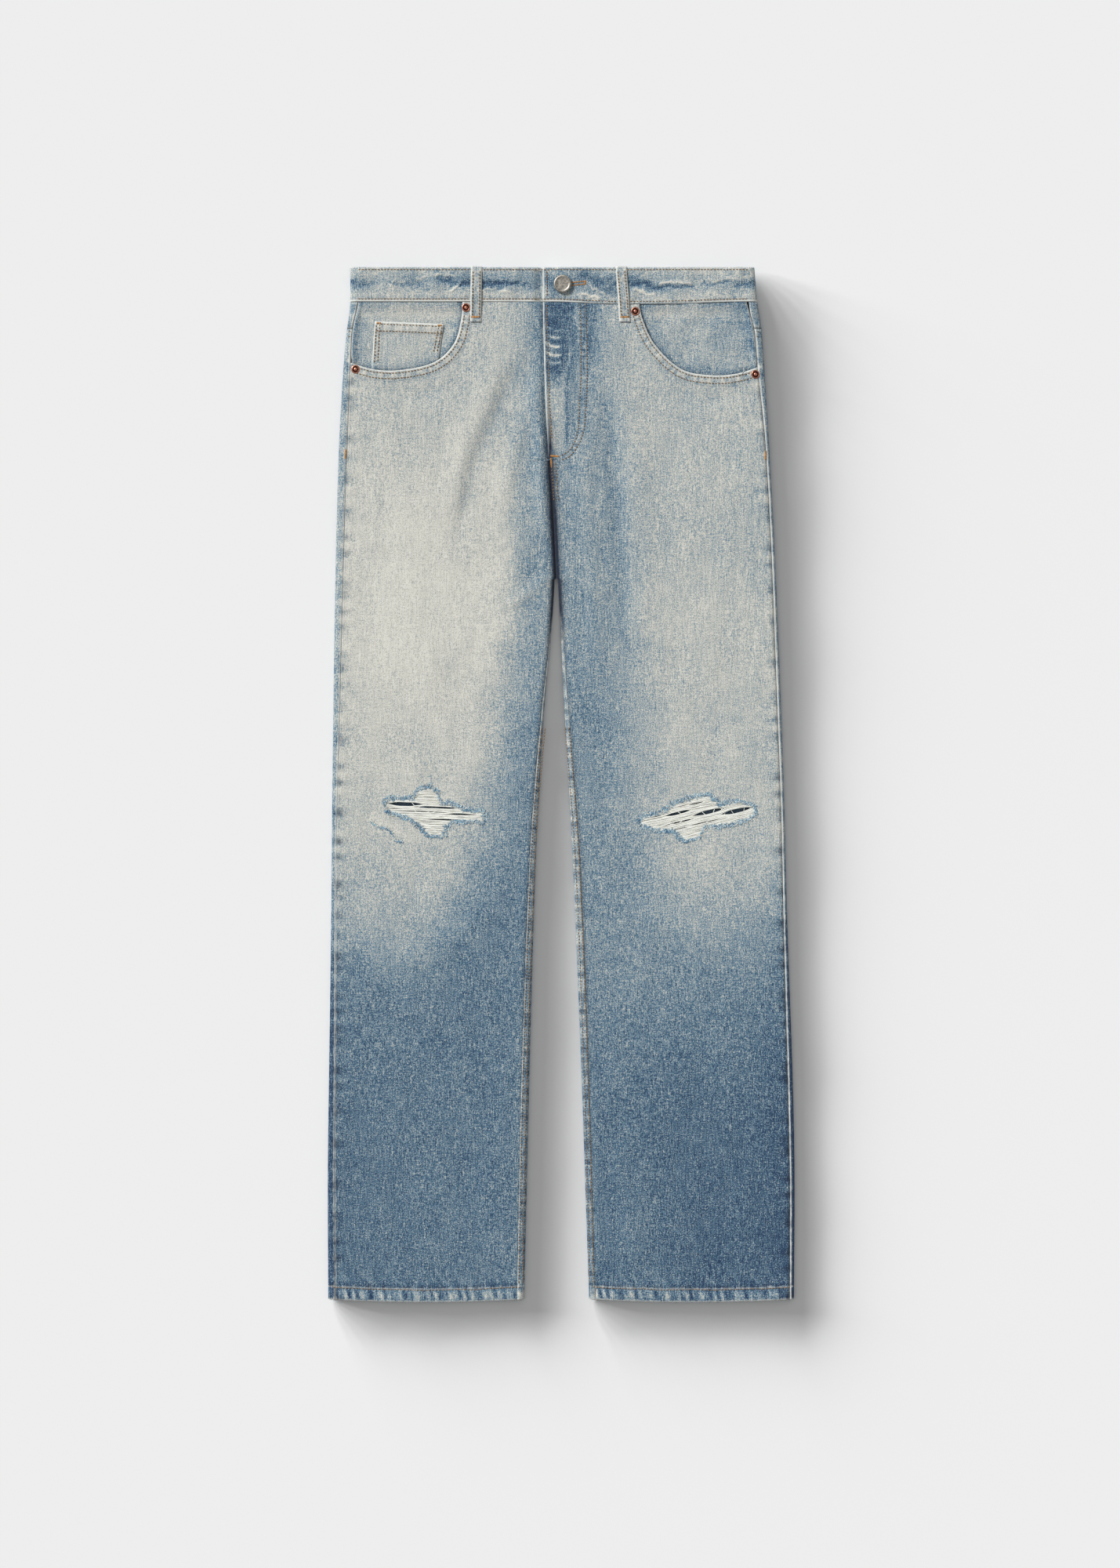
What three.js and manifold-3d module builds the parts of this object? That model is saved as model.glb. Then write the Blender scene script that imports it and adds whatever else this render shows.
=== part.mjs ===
// Five-pocket ripped jeans, laid flat on their back with the fly facing up.
// Millimetres, +Z up. +Y runs from the hems to the waist, +X to the wearer's left, and z = 0 is the
// surface that the jeans lie on. The origin is the bottom centre of the whole garment.
import * as THREE from "three";
import { mergeVertices } from "three/addons/utils/BufferGeometryUtils.js";
import Module from "manifold-3d";

const wasm = await Module();
wasm.setup();

// ---- driving dimensions ----
const WAIST_Y = 534; // top edge of the waistband
const WAIST_SEAM_Y = 498; // where the waistband is sewn to the fronts and the yokes
const HEM_Y = -534; // lowest point of the turned-up hems
const HEM_BOW = 3; // how far each hem's middle hangs below its corners
const CROTCH_Y = 213; // where the four leg seams meet
const FLY_FOOT_Y = 336; // lower end of the fly opening
const FLY_EDGE_X = -18.8; // folded edge of the fly, at the waist seam
const CENTRE_BACK_X = -7; // the seat seam
const YOKE_SIDE_Y = 470; // the yoke seam at the side
const YOKE_CENTRE_Y = 434; // the yoke seam at the centre back

const DENIM = 1.2; // wall of one layer of cloth
const BAND = 2; // wall of the waistband, which is cloth on both sides
const GAP = 0.36; // between pieces at a seam
const POCKET_CLOTH = 1; // wall of the pocket facings and the coin pocket
const WEFT = 0.7; // wall of the bare threads in the rips
const SEAT_LIFT = 1.5; // the seat lies on its pockets and belt loops, this far off the surface
const ROLL_OUT = 9; // how far the outer folds of the legs round off, seen from above
const ROLL_UNDER = 4; // the same on the underside
const FLY_STEP = DENIM + 3 * GAP; // how far the right front dips to pass under the fly
const BAND_STEP = BAND + GAP;
const BAND_PROUD = 0.9; // how far the waistband stands above the fronts

const LOOP = { width: 11.7, length: 56, wall: 1.2 };
const BUTTON = { x: 1.3, y: 516.5, radius: 9.2, height: 4.2 };
const RIVET = { radius: 4.7, height: 1.5 };
const BACK_POCKET = { width: 146, footWidth: 126, side: 142, point: 16, top: 412, fromCentre: 34 };

// ---- colours ----
const denimPale = new THREE.MeshStandardMaterial({ color: 0xb4bdc0, roughness: 0.92 });
const denimBlue = new THREE.MeshStandardMaterial({ color: 0x7391ab, roughness: 0.92 });
const bareWeft = new THREE.MeshStandardMaterial({ color: 0xe6e6de, roughness: 0.95 });
const pewter = new THREE.MeshStandardMaterial({ color: 0x9a968c, roughness: 0.42, metalness: 0.9 });
const copper = new THREE.MeshStandardMaterial({ color: 0xb56a55, roughness: 0.35, metalness: 0.95 });

// ---- small helpers ----
const clamp01 = (t) => Math.min(1, Math.max(0, t));
const mix = (a, b, t) => a + (b - a) * t;
const ramp = (v, from, to) => {
  const t = clamp01((v - from) / (to - from));
  return t * t * (3 - 2 * t);
};

// A smooth function of y through a few [y, value] knots, in order of falling y.
function through(knots) {
  const slope = knots.map((_, i) => {
    const a = knots[Math.max(0, i - 1)];
    const b = knots[Math.min(knots.length - 1, i + 1)];
    return (b[1] - a[1]) / (b[0] - a[0]);
  });
  return (y) => {
    const at = Math.min(knots[0][0], Math.max(knots[knots.length - 1][0], y));
    let i = 0;
    while (i < knots.length - 2 && at < knots[i + 1][0]) i += 1;
    const [y0, v0] = knots[i];
    const [y1, v1] = knots[i + 1];
    const h = y1 - y0;
    const t = (at - y0) / h;
    return (
      v0 * (1 + 2 * t) * (1 - t) ** 2 + slope[i] * h * t * (1 - t) ** 2 +
      v1 * t * t * (3 - 2 * t) + slope[i + 1] * h * t * t * (t - 1)
    );
  };
}

// ---- the outline, seen from above: side -1 is the wearer's right, +1 the left ----
const outline = {
  "-1": {
    outer: through([
      [534, -218], [498, -217.8], [469, -221.3], [430, -224.8], [350, -229.4], [211, -233.2],
      [0, -236.3], [-145, -237.6], [-300, -239.8], [-400, -241], [-534, -240.6],
    ]),
    inner: through([
      [336, -12.6], [275, -8.4], [213, -6.9], [146, -11.2], [81, -17.2], [-48, -24.9],
      [-178, -29.5], [-340, -33.8], [-534, -38.2],
    ]),
    outseam: through([
      [498, 8.2], [469, 5.6], [430, 7.5], [350, 9], [100, 7.4], [-80, 5], [-320, 7], [-534, 8],
    ]),
    inseam: through([[213, 0.5], [120, 1.4], [0, 4.8], [-80, 6.4], [-320, 8], [-534, 7.4]]),
  },
  "1": {
    outer: through([
      [534, 199.4], [498, 202.6], [469, 207], [430, 209.8], [350, 214.7], [211, 221.9],
      [0, 229.8], [-145, 233.6], [-300, 239], [-400, 241], [-534, 240.4],
    ]),
    inner: through([
      [336, -12], [275, -7.8], [213, -3.6], [146, 0], [81, 3.2], [-48, 10.5],
      [-178, 16.2], [-340, 22.4], [-534, 28.8],
    ]),
    outseam: through([
      [498, 10.8], [469, 7.6], [430, 7], [350, 3.6], [100, 3.8], [-80, 3.4], [-320, 5], [-534, 4.2],
    ]),
    inseam: through([[213, 0.5], [97, 4], [0, 6.5], [-80, 8], [-320, 8], [-534, 6.6]]),
  },
};

// The fly's folded edge from the waist seam down to its foot.
const flyEdge = through([[534, FLY_EDGE_X], [498, FLY_EDGE_X], [400, -16.4], [336, -12.6]]);
// The front rise seam in the valley between the thighs.
const riseSeam = through([[336, -12.4], [275, -8.1], [235, -6.2], [213, -5.2]]);

// Where the waist seam and the hem run off a straight line.
const waistSag = (x) => -2.4 * ramp(x, -10, 60) * (1 - ramp(x, 90, 195));
const yokeSeam = (x) => {
  const across = clamp01(Math.abs(x - CENTRE_BACK_X) / 205);
  return mix(YOKE_CENTRE_Y, YOKE_SIDE_Y, across ** 1.15);
};

// ---- heights ----
const crown = through([
  [534, 7.8], [498, 7.8], [336, 7.6], [213, 6.8], [60, 6.1], [-300, 5.6], [-534, 5.2],
]);
const underside = (y) => SEAT_LIFT * ramp(y, 170, 240);
const rollIn = (y) => mix(8, 14, ramp(y, 40, 200));
const valley = (y) => 1 - ramp(y, CROTCH_Y + 6, FLY_FOOT_Y + 14);
// How far a rounded fold has dropped at a distance from its edge: 1 at the edge and 0 past the roll.
const fall = (d, roll) => {
  const t = clamp01(d / roll);
  return 1 - Math.sqrt(Math.max(0, 1 - (1 - t) ** 2));
};

// The largest folds: soft ridges and troughs along a line, [x, y] to [x, y], in the upper cloth.
const FOLDS = [
  { from: [-31, 420], to: [-17, 245], width: 10, height: 1.1 }, // roll beside the fly
  { from: [43, 450], to: [54, 110], width: 12, height: -0.9 }, // hollow down the left thigh
  { from: [-60, 470], to: [-118, 250], width: 24, height: 0.8 }, // pull across the right thigh
  { from: [-150, 330], to: [-150, 60], width: 30, height: 0.5 },
];
function foldHeight(x, y) {
  let sum = 0;
  for (const { from, to, width, height } of FOLDS) {
    const dx = to[0] - from[0];
    const dy = to[1] - from[1];
    const along = ((x - from[0]) * dx + (y - from[1]) * dy) / (dx * dx + dy * dy);
    const across = ((x - from[0]) * dy - (y - from[1]) * dx) / Math.hypot(dx, dy);
    sum += height * Math.exp(-((across / width) ** 2)) * ramp(along, -0.1, 0.25) * ramp(-along, -1.1, -0.75);
  }
  return sum;
}
const pocketBulge = (x, y) => 0.4 * ramp(y, 400, 440) * ramp(Math.abs(x - CENTRE_BACK_X), 70, 110);

const foldMiddle = (y) => mix(underside(y), crown(y), 0.45);

const crest = (x, y) => crown(y) + foldHeight(x, y) + pocketBulge(x, y);

// Outer face of the upper cloth at (x, y), for one side of the garment.
function upper(side, x, y) {
  const edge = outline[side];
  const height = crest(x, y);
  const middle = foldMiddle(y);
  const dOut = Math.abs(edge.outer(y) - x);
  const dIn = y > CROTCH_Y ? Math.abs(x - riseSeam(y)) : Math.abs(x - edge.inner(y));
  const dropped = Math.min(1, fall(dOut, ROLL_OUT) + valley(y) * fall(dIn, rollIn(y)));
  return height - (height - middle) * dropped;
}

// ---- walls of cloth ----
// rows is a grid of outer points. The wall grows inwards from it by its thickness, which is negative
// where the grid runs the other way round.
// The first and last point of each row only steer the seam's slope and are left out of the cloth.
function wall(rows, thickness) {
  const m = rows.length;
  const n = rows[0].length - 2;
  const at = (i, j) => rows[Math.min(m - 1, Math.max(0, i))][j + 1];
  const points = [];
  for (const inner of [0, 1]) {
    for (let i = 0; i < m; i += 1) {
      for (let j = 0; j < n; j += 1) {
        const across = at(i, j + 1).clone().sub(at(i, j - 1));
        const along = at(i + 1, j).clone().sub(at(i - 1, j));
        const normal = across.cross(along).normalize();
        points.push(at(i, j).clone().addScaledVector(normal, -thickness * inner));
      }
    }
  }
  const id = (inner, i, j) => inner * m * n + i * n + j;
  const faces = [];
  const quad = (a, b, c, d) => faces.push(a, b, c, a, c, d);
  for (let i = 0; i < m - 1; i += 1) {
    for (let j = 0; j < n - 1; j += 1) {
      quad(id(0, i, j), id(0, i, j + 1), id(0, i + 1, j + 1), id(0, i + 1, j));
      quad(id(1, i, j), id(1, i + 1, j), id(1, i + 1, j + 1), id(1, i, j + 1));
    }
  }
  for (let j = 0; j < n - 1; j += 1) {
    quad(id(0, 0, j), id(1, 0, j), id(1, 0, j + 1), id(0, 0, j + 1));
    quad(id(0, m - 1, j), id(0, m - 1, j + 1), id(1, m - 1, j + 1), id(1, m - 1, j));
  }
  for (let i = 0; i < m - 1; i += 1) {
    quad(id(0, i, 0), id(0, i + 1, 0), id(1, i + 1, 0), id(1, i, 0));
    quad(id(0, i, n - 1), id(1, i, n - 1), id(1, i + 1, n - 1), id(0, i + 1, n - 1));
  }
  return closed(points, faces);
}

// Adds the steering points to rows that end without a neighbour: straight on at both ends.
const straightOn = (rows) => rows.map((row) => {
  const on = (p, before) => p.clone().multiplyScalar(2).sub(before);
  return [on(row[0], row[1]), ...row, on(row[row.length - 1], row[row.length - 2])];
});

// A steering point far along the upper cloth's own slope, so that both cloths at a seam lean alike.
function steer(side, point, way) {
  const slope = upper(side, point.x + 0.3, point.y) - upper(side, point.x - 0.3, point.y);
  return new THREE.Vector3(point.x + way * 60, point.y, point.z + way * slope * 100);
}

// A closed geometry with its faces pointing out, whichever way the grid ran.
function closed(points, faces) {
  let volume = 0;
  for (let k = 0; k < faces.length; k += 3) {
    const [a, b, c] = [points[faces[k]], points[faces[k + 1]], points[faces[k + 2]]];
    volume += a.dot(b.clone().cross(c));
  }
  if (volume < 0) {
    for (let k = 0; k < faces.length; k += 3) {
      [faces[k + 1], faces[k + 2]] = [faces[k + 2], faces[k + 1]];
    }
  }
  const geometry = new THREE.BufferGeometry().setFromPoints(points);
  geometry.setIndex(faces);
  return geometry;
}

function solidOf(geometry) {
  const bare = geometry.clone();
  bare.deleteAttribute("normal");
  bare.deleteAttribute("uv");
  const merged = mergeVertices(bare, 1e-4);
  return new wasm.Manifold(new wasm.Mesh({
    numProp: 3,
    vertProperties: new Float32Array(merged.attributes.position.array),
    triVerts: new Uint32Array(merged.index.array),
  }));
}

function geometryOf(solid) {
  const mesh = solid.getMesh();
  const geometry = new THREE.BufferGeometry();
  geometry.setAttribute("position", new THREE.BufferAttribute(mesh.vertProperties, 3));
  geometry.setIndex(new THREE.BufferAttribute(mesh.triVerts, 1));
  return geometry;
}

// An upright prism over an outline seen from above, tall enough to cut through the garment.
function cutter(shape, steps) {
  const prism = new THREE.ExtrudeGeometry(shape, { depth: 30, bevelEnabled: false, curveSegments: steps });
  return solidOf(prism.translate(0, 0, -5));
}

const shapeOf = (points) => new THREE.Shape(points.map(([x, y]) => new THREE.Vector2(x, y)));

// ---- the fronts ----
// Both cloths at a seam share these rows.
const ROWS = [
  470, 440, 410, 380, 366, 352, 336, 318, 298, 275, 252, 235, 222, 213, 203, 190, 160, 120, 60, 0,
  -70, -150, -240, -330, -420, -490, -534,
];
const FLY_FOLD_Y = 360; // the right front runs on under the fly above this
// Distances from the inner edge of a front, then shares of what is left to the outseam.
const NEAR_INNER = [0, 1.2, 3.5, 7, 13, 24];
const NEAR_FLY = [0, 15, 30, 37, 45, 60]; // the same from the end of the right front's extension
const ACROSS = [0.2, 0.42, 0.64, 0.84];
const NEAR_OUTER = [5, 0];

function frontGrid(side) {
  const edge = outline[side];
  const inward = -side;
  const fly = side < 0 ? 36 : 0; // the right front runs on under the fly as its extension
  return [WAIST_SEAM_Y, ...ROWS].map((y) => {
    const seamX = edge.outer(y) + inward * (edge.outseam(y) + GAP / 2);
    let innerX;
    if (y <= CROTCH_Y) innerX = edge.inner(y) - inward * (edge.inseam(y) + GAP / 2 + 0.5 * ramp(y, 190, 210));
    else if (y <= FLY_FOOT_Y) innerX = riseSeam(y) - inward * (GAP / 2);
    else if (y < FLY_FOLD_Y) innerX = flyEdge(y) - (side < 0 ? GAP : 0);
    else innerX = flyEdge(y) + fly;
    const near = y > FLY_FOLD_Y && side < 0 ? NEAR_FLY : NEAR_INNER;
    const xs = near.map((d) => innerX - inward * d);
    const from = xs[xs.length - 1];
    const to = seamX + inward * NEAR_OUTER[0];
    for (const share of ACROSS) xs.push(mix(from, to, share));
    for (const d of NEAR_OUTER) xs.push(seamX + inward * d);
    const row = xs.map((x) => {
      const share = (x - edge.inner(y)) / (edge.outer(y) - edge.inner(y));
      const bow = HEM_BOW * (2 * share - 1) ** 2 * ramp(-y, 420, 534);
      const sag = (waistSag(x) - GAP / 2) * ramp(y, 420, 498);
      const dip = side < 0 ? FLY_STEP * ramp(x, flyEdge(y) - 9, flyEdge(y) - 1) * ramp(y, 338, 350) : 0;
      return new THREE.Vector3(x, y + bow + sag, upper(side, x, y) - dip);
    });
    return [steer(side, row[0], inward), ...row, steer(side, row[row.length - 1], side)];
  });
}

// The mouth of each front pocket, from the waist seam down and round to the outseam.
const MOUTH = {
  "-1": [[-102, 500], [-103.2, 480], [-111, 454.6], [-131, 435.9], [-163.5, 428], [-192, 428.2], [-219.5, 436]],
  "1": [[79.6, 500], [84.2, 480], [97.5, 453], [124.3, 428.6], [155, 422.4], [182, 424.2], [206.5, 432]],
};
const mouthCurve = (side, n) =>
  new THREE.SplineCurve(MOUTH[side].map(([x, y]) => new THREE.Vector2(x, y))).getPoints(n);
// The area that a pocket leaves open, between its mouth, the side and the waist.
function mouthArea(side, n) {
  const curve = mouthCurve(side, n);
  return new THREE.Shape([...curve, new THREE.Vector2(side * 260, 436), new THREE.Vector2(side * 260, 520),
    new THREE.Vector2(curve[0].x, 520)]);
}

// The worn-through knees: outlines of the holes in the fronts.
const RIPS = {
  "-1": [
    [-183, -17.6], [-169, -14.6], [-152, -15], [-148, -5], [-133, -2.8], [-126, -12], [-124, -20],
    [-108, -21.5], [-100, -27], [-81, -28], [-80.5, -38], [-100, -37], [-112, -37.5], [-121.5, -44],
    [-122, -52.5], [-136, -53], [-144, -43.5], [-160, -33.5], [-178.5, -28],
  ],
  "1": [
    [81.6, -40.5], [83, -34], [108.5, -28], [117, -19.4], [136.5, -13.5], [151.5, -9.8], [163, -21.5],
    [183, -17.4], [199, -21.5], [199.8, -32], [179, -39.6], [148, -43.4], [142, -55.4], [127, -57.6],
    [116, -47], [98, -47],
  ],
};

function front(side) {
  const cloth = solidOf(wall(frontGrid(side), -side * DENIM));
  const hole = cutter(shapeOf(RIPS[side]), 1);
  const opened = cloth.subtract(cutter(mouthArea(side, 14), 1)).subtract(hole);
  return geometryOf(opened.decompose().sort((a, b) => b.volume() - a.volume())[0]);
}

// The bare cross threads left in a rip, as one thin wall just inside the hole's edge.
function weft(side) {
  const outlinePoints = RIPS[side];
  const middle = outlinePoints.reduce((s, p) => [s[0] + p[0] / outlinePoints.length, s[1] + p[1] / outlinePoints.length], [0, 0]);
  const shrink = ([x, y]) => [mix(x, middle[0], 0.035), mix(y, middle[1], 0.06)];
  const rows = [2, -12, -26, -40, -60].map((y) =>
    [0, 0.2, 0.4, 0.6, 0.8, 1].map((share) => {
      const x = mix(side < 0 ? -190 : 75, side < 0 ? -74 : 206, share);
      return new THREE.Vector3(x, y, upper(side, x, y) - 0.35);
    }));
  const sheet = solidOf(wall(straightOn(rows), -WEFT));
  return geometryOf(sheet.intersect(cutter(shapeOf(outlinePoints.map(shrink)), 1)));
}

// ---- the pocket facings, seen inside the mouths ----
function facing(side) {
  const edge = outline[side];
  const reach = side < 0 ? -86 : 66;
  const rows = [498, 484, 468, 452, 436, 424, 412].map((y) => {
    const seamX = edge.outer(y) - side * (edge.outseam(y) + DENIM + GAP);
    const inner = mix(reach, mix(reach, seamX, 0.45), ramp(-y, -452, -412));
    return [0, 0.2, 0.4, 0.6, 0.8, 0.93, 1].map((share) => {
      const x = mix(inner, seamX, share);
      const sag = (waistSag(x) - GAP / 2) * ramp(y, 420, 498);
      return new THREE.Vector3(x, y + sag, upper(side, x, y) - DENIM - GAP);
    });
  });
  return wall(straightOn(rows), -side * POCKET_CLOTH);
}

// The coin pocket on the right facing, as far down as the mouth lets it show.
const COIN = { topLeft: [-192.4, 478.2], topRight: [-121.2, 475.4], footLeft: [-196, 424], footRight: [-128.5, 424] };
function coinPocket() {
  const rows = [0, 0.35, 0.7, 1].map((down) =>
    [0, 0.25, 0.5, 0.75, 1].map((share) => {
      const left = [mix(COIN.topLeft[0], COIN.footLeft[0], down), mix(COIN.topLeft[1], COIN.footLeft[1], down)];
      const right = [mix(COIN.topRight[0], COIN.footRight[0], down), mix(COIN.topRight[1], COIN.footRight[1], down)];
      const [x, y] = [mix(left[0], right[0], share), mix(left[1], right[1], share)];
      return new THREE.Vector3(x, y, upper(-1, x, y) - DENIM + POCKET_CLOTH + 0.05);
    }));
  const clear = mouthCurve(-1, 14).map((p) => new THREE.Vector2(p.x - 0.6, p.y + 0.6));
  const visible = new THREE.Shape([...clear, new THREE.Vector2(-260, 437), new THREE.Vector2(-260, 520),
    new THREE.Vector2(clear[0].x, 520)]);
  return geometryOf(solidOf(wall(straightOn(rows), -POCKET_CLOTH)).intersect(cutter(visible, 1)));
}

// ---- the backs, yokes and waistband, which wrap round the folded sides ----
const WRAP = [1, 0.62, 0.3, 0]; // shares of the way round the fold, from a seam on top to the fold itself
const UNDER = [0.35, 0.7, 1]; // on round to the flat underside, as shares of a quarter turn

// Points of a side fold at y, from a seam at a distance from the edge, down and round to the underside.
function foldPoints(y, edgeX, side, seam, proud, roll) {
  const [bottom, middle] = [underside(y), foldMiddle(y)];
  const start = Math.acos(1 - Math.min(1, seam / roll));
  const points = WRAP.map((share) => {
    const turn = start * share;
    const x = edgeX - side * roll * (1 - Math.cos(turn));
    return new THREE.Vector3(x, y, middle + (crest(x, y) + proud - middle) * Math.sin(turn));
  });
  for (const share of UNDER) {
    const turn = (share * Math.PI) / 2;
    points.push(new THREE.Vector3(
      edgeX - side * ROLL_UNDER * (1 - Math.cos(turn)), y, middle - (middle - bottom) * Math.sin(turn)));
  }
  return points;
}

// One row of the cloth that lies underneath: from the seat seam or the inseam to the outseam on top.
function underRow(side, y, rowShift) {
  const edge = outline[side];
  const bottom = underside(y);
  const outer = foldPoints(y, edge.outer(y), side, edge.outseam(y) - GAP / 2, 0, ROLL_OUT);
  let inner;
  if (y > CROTCH_Y) {
    const from = mix(riseSeam(y), CENTRE_BACK_X, ramp(y, 213, 300)) + (side * GAP) / 2;
    inner = outer.map((_, k) => new THREE.Vector3(from + side * k * 1.2, y, bottom));
  } else {
    inner = foldPoints(y, edge.inner(y), -side, edge.inseam(y) - GAP / 2, 0, rollIn(y));
  }
  const a = inner[inner.length - 1];
  const b = outer[outer.length - 1];
  const flat = [0.25, 0.5, 0.75].map((share) => new THREE.Vector3(mix(a.x, b.x, share), y, bottom));
  const row = [...inner, ...flat, ...outer.reverse()];
  const first = y > CROTCH_Y ? inner[0].clone().setX(inner[0].x - side * 60) : steer(side, inner[0], side);
  row.unshift(first);
  row.push(steer(side, row[row.length - 1], -side));
  for (const p of row) {
    const share = (p.x - edge.inner(y)) / (edge.outer(y) - edge.inner(y));
    p.y += HEM_BOW * (2 * share - 1) ** 2 * ramp(-y, 420, 534) + rowShift(p.x);
  }
  return row;
}

const back = (side) => wall(ROWS.map((y) => underRow(side, y,
  (x) => (yokeSeam(x) - YOKE_SIDE_Y - GAP / 2) * ramp(y, 375, 470))), side * DENIM);

function yoke(side) {
  const rows = [0, 0.5, 1].map((down) => {
    const y = mix(WAIST_SEAM_Y, YOKE_SIDE_Y, down);
    return underRow(side, y, (x) =>
      mix(-GAP / 2, yokeSeam(x) - YOKE_SIDE_Y + GAP / 2, down));
  });
  return wall(rows, side * DENIM);
}

// The waistband: one strip from under the button, round the back, to over the button.
function waistband() {
  const rows = [WAIST_SEAM_Y + GAP, 510, 522, WAIST_Y].map((y) => {
    const frontPart = (side, xs) => xs.map((x) => {
      const dip = side < 0 ? BAND_STEP * ramp(x, FLY_EDGE_X - 10, FLY_EDGE_X - 1.5) : 0;
      return new THREE.Vector3(x, y, upper(side, x, y) + BAND_PROUD - dip);
    });
    const sideFold = (side) => foldPoints(y, outline[side].outer(y), side, ROLL_OUT, BAND_PROUD, ROLL_OUT);
    const backPart = [-150, -80, CENTRE_BACK_X, 60, 130].map((x) => new THREE.Vector3(x, y, SEAT_LIFT));
    const path = [
      ...frontPart(-1, [22, 0, -19.5, -22, -25, -29, -60, -110, -160, -195]),
      ...sideFold(-1), ...backPart, ...sideFold(1).reverse(),
      ...frontPart(1, [180, 140, 100, 60, 20, FLY_EDGE_X]),
    ];
    const sagged = ramp(-y, -534, -498);
    for (const p of path) if (p.z > 5) p.y += waistSag(p.x) * sagged;
    return path;
  });
  return wall(straightOn(rows), -BAND);
}

// ---- back pockets and belt loops ----
function backPocket(side) {
  const { width, footWidth, side: tall, point, top, fromCentre } = BACK_POCKET;
  const x = (share) => CENTRE_BACK_X + side * (fromCentre + width * share);
  const inset = (width - footWidth) / 2 / width;
  const shape = shapeOf([
    [x(0), top - 6], [x(1), top + 6], [x(1 - inset), top - tall + 4], [x(0.5), top - tall - point],
    [x(inset), top - tall - 4],
  ]);
  return new THREE.ExtrudeGeometry(shape, { depth: DENIM, bevelEnabled: false });
}

function frontLoop(xTop, xFoot, side) {
  const rows = [534, 516, 501, 495.5, 490, 478].map((y) => {
    const middle = mix(xTop, xFoot, (WAIST_Y - y) / LOOP.length);
    const proud = BAND_PROUD * ramp(y, 493.5, 496.5) + GAP + LOOP.wall;
    return [-0.5, 0, 0.5].map((k) => {
      const x = middle + k * LOOP.width;
      return new THREE.Vector3(x, y, upper(side, x, y) + proud);
    });
  });
  return wall(straightOn(rows), -LOOP.wall);
}

function backLoop(x) {
  const loop = new THREE.BoxGeometry(LOOP.width, LOOP.length, LOOP.wall);
  return loop.translate(x, WAIST_Y - LOOP.length / 2, LOOP.wall / 2);
}

// ---- metal ----
function turned(profile, segments) {
  const points = profile.map(([r, z]) => new THREE.Vector2(r, z));
  return new THREE.LatheGeometry(points, segments).rotateX(Math.PI / 2);
}

// A shank button: a dished cap with a rounded rim on a short stem.
function button() {
  const { radius, height } = BUTTON;
  return turned([
    [0, 0], [3.6, 0], [3.6, height - 2.4], [radius - 1.2, height - 2.2], [radius, height - 1.5],
    [radius - 0.5, height - 0.4], [radius - 1.6, height], [radius - 3, height - 0.5], [0, height - 0.6],
  ], 28);
}

// A pocket rivet: a low ring with a small raised nipple in the middle.
function rivet() {
  const { radius, height } = RIVET;
  return turned([
    [0, 0], [radius - 0.3, 0], [radius, 0.3], [radius - 0.7, 0.8], [2.2, 0.75], [1.5, height], [0, height],
  ], 18);
}

// ---- the garment ----
const jeans = new THREE.Group();
function add(name, geometry, material) {
  const mesh = new THREE.Mesh(geometry, material);
  mesh.name = name;
  jeans.add(mesh);
  return mesh;
}

for (const [side, word] of [[-1, "right"], [1, "left"]]) {
  add(`front_${word}`, front(side), denimPale);
  add(`back_${word}`, back(side), denimBlue);
  add(`yoke_${word}`, yoke(side), denimBlue);
  add(`pocket_facing_${word}`, facing(side), denimPale);
  add(`back_pocket_${word}`, backPocket(side), denimBlue);
  add(`rip_weft_${word}`, weft(side), bareWeft);
}
add("waistband", waistband(), denimPale);
add("coin_pocket", coinPocket(), denimPale);
add("belt_loop_front_right", frontLoop(-87.7, -88.4, -1), denimPale);
add("belt_loop_front_left", frontLoop(61.3, 65.4, 1), denimPale);
for (const [word, offset] of [["right", -112], ["centre", 0], ["left", 112]]) {
  add(`belt_loop_back_${word}`, backLoop(CENTRE_BACK_X + offset), denimBlue);
}

const waistButton = add("waist_button", button(), pewter);
waistButton.position.set(BUTTON.x, BUTTON.y, upper(1, BUTTON.x, BUTTON.y) + BAND_PROUD + GAP);

const RIVETS = [
  ["rivet_right_inner", -1, -99.6, 490.4],
  ["rivet_right_outer", -1, -211.6, 427.2],
  ["rivet_left_inner", 1, 76.4, 487.6],
  ["rivet_left_outer", 1, 198.4, 422.6],
];
for (const [name, side, x, y] of RIVETS) {
  const cap = add(name, rivet(), copper);
  const run = 3;
  const slope = (upper(side, x + run, y) - upper(side, x - run, y)) / (2 * run);
  cap.rotation.y = -Math.atan(slope);
  cap.position.set(x, y, upper(side, x, y) + GAP + 0.1);
}

export default jeans;
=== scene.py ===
"""Ripped five-pocket jeans laid flat on their back: cloth, sewing, frays and metal over the CAD frame.

Sizes in the shape functions are in millimetres, seen from above: x grows to the wearer's left, y grows
from the hems to the waist and z grows out of the front. MM turns them into the frame's metres.
"""

import math
from functools import cache, partial

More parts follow.
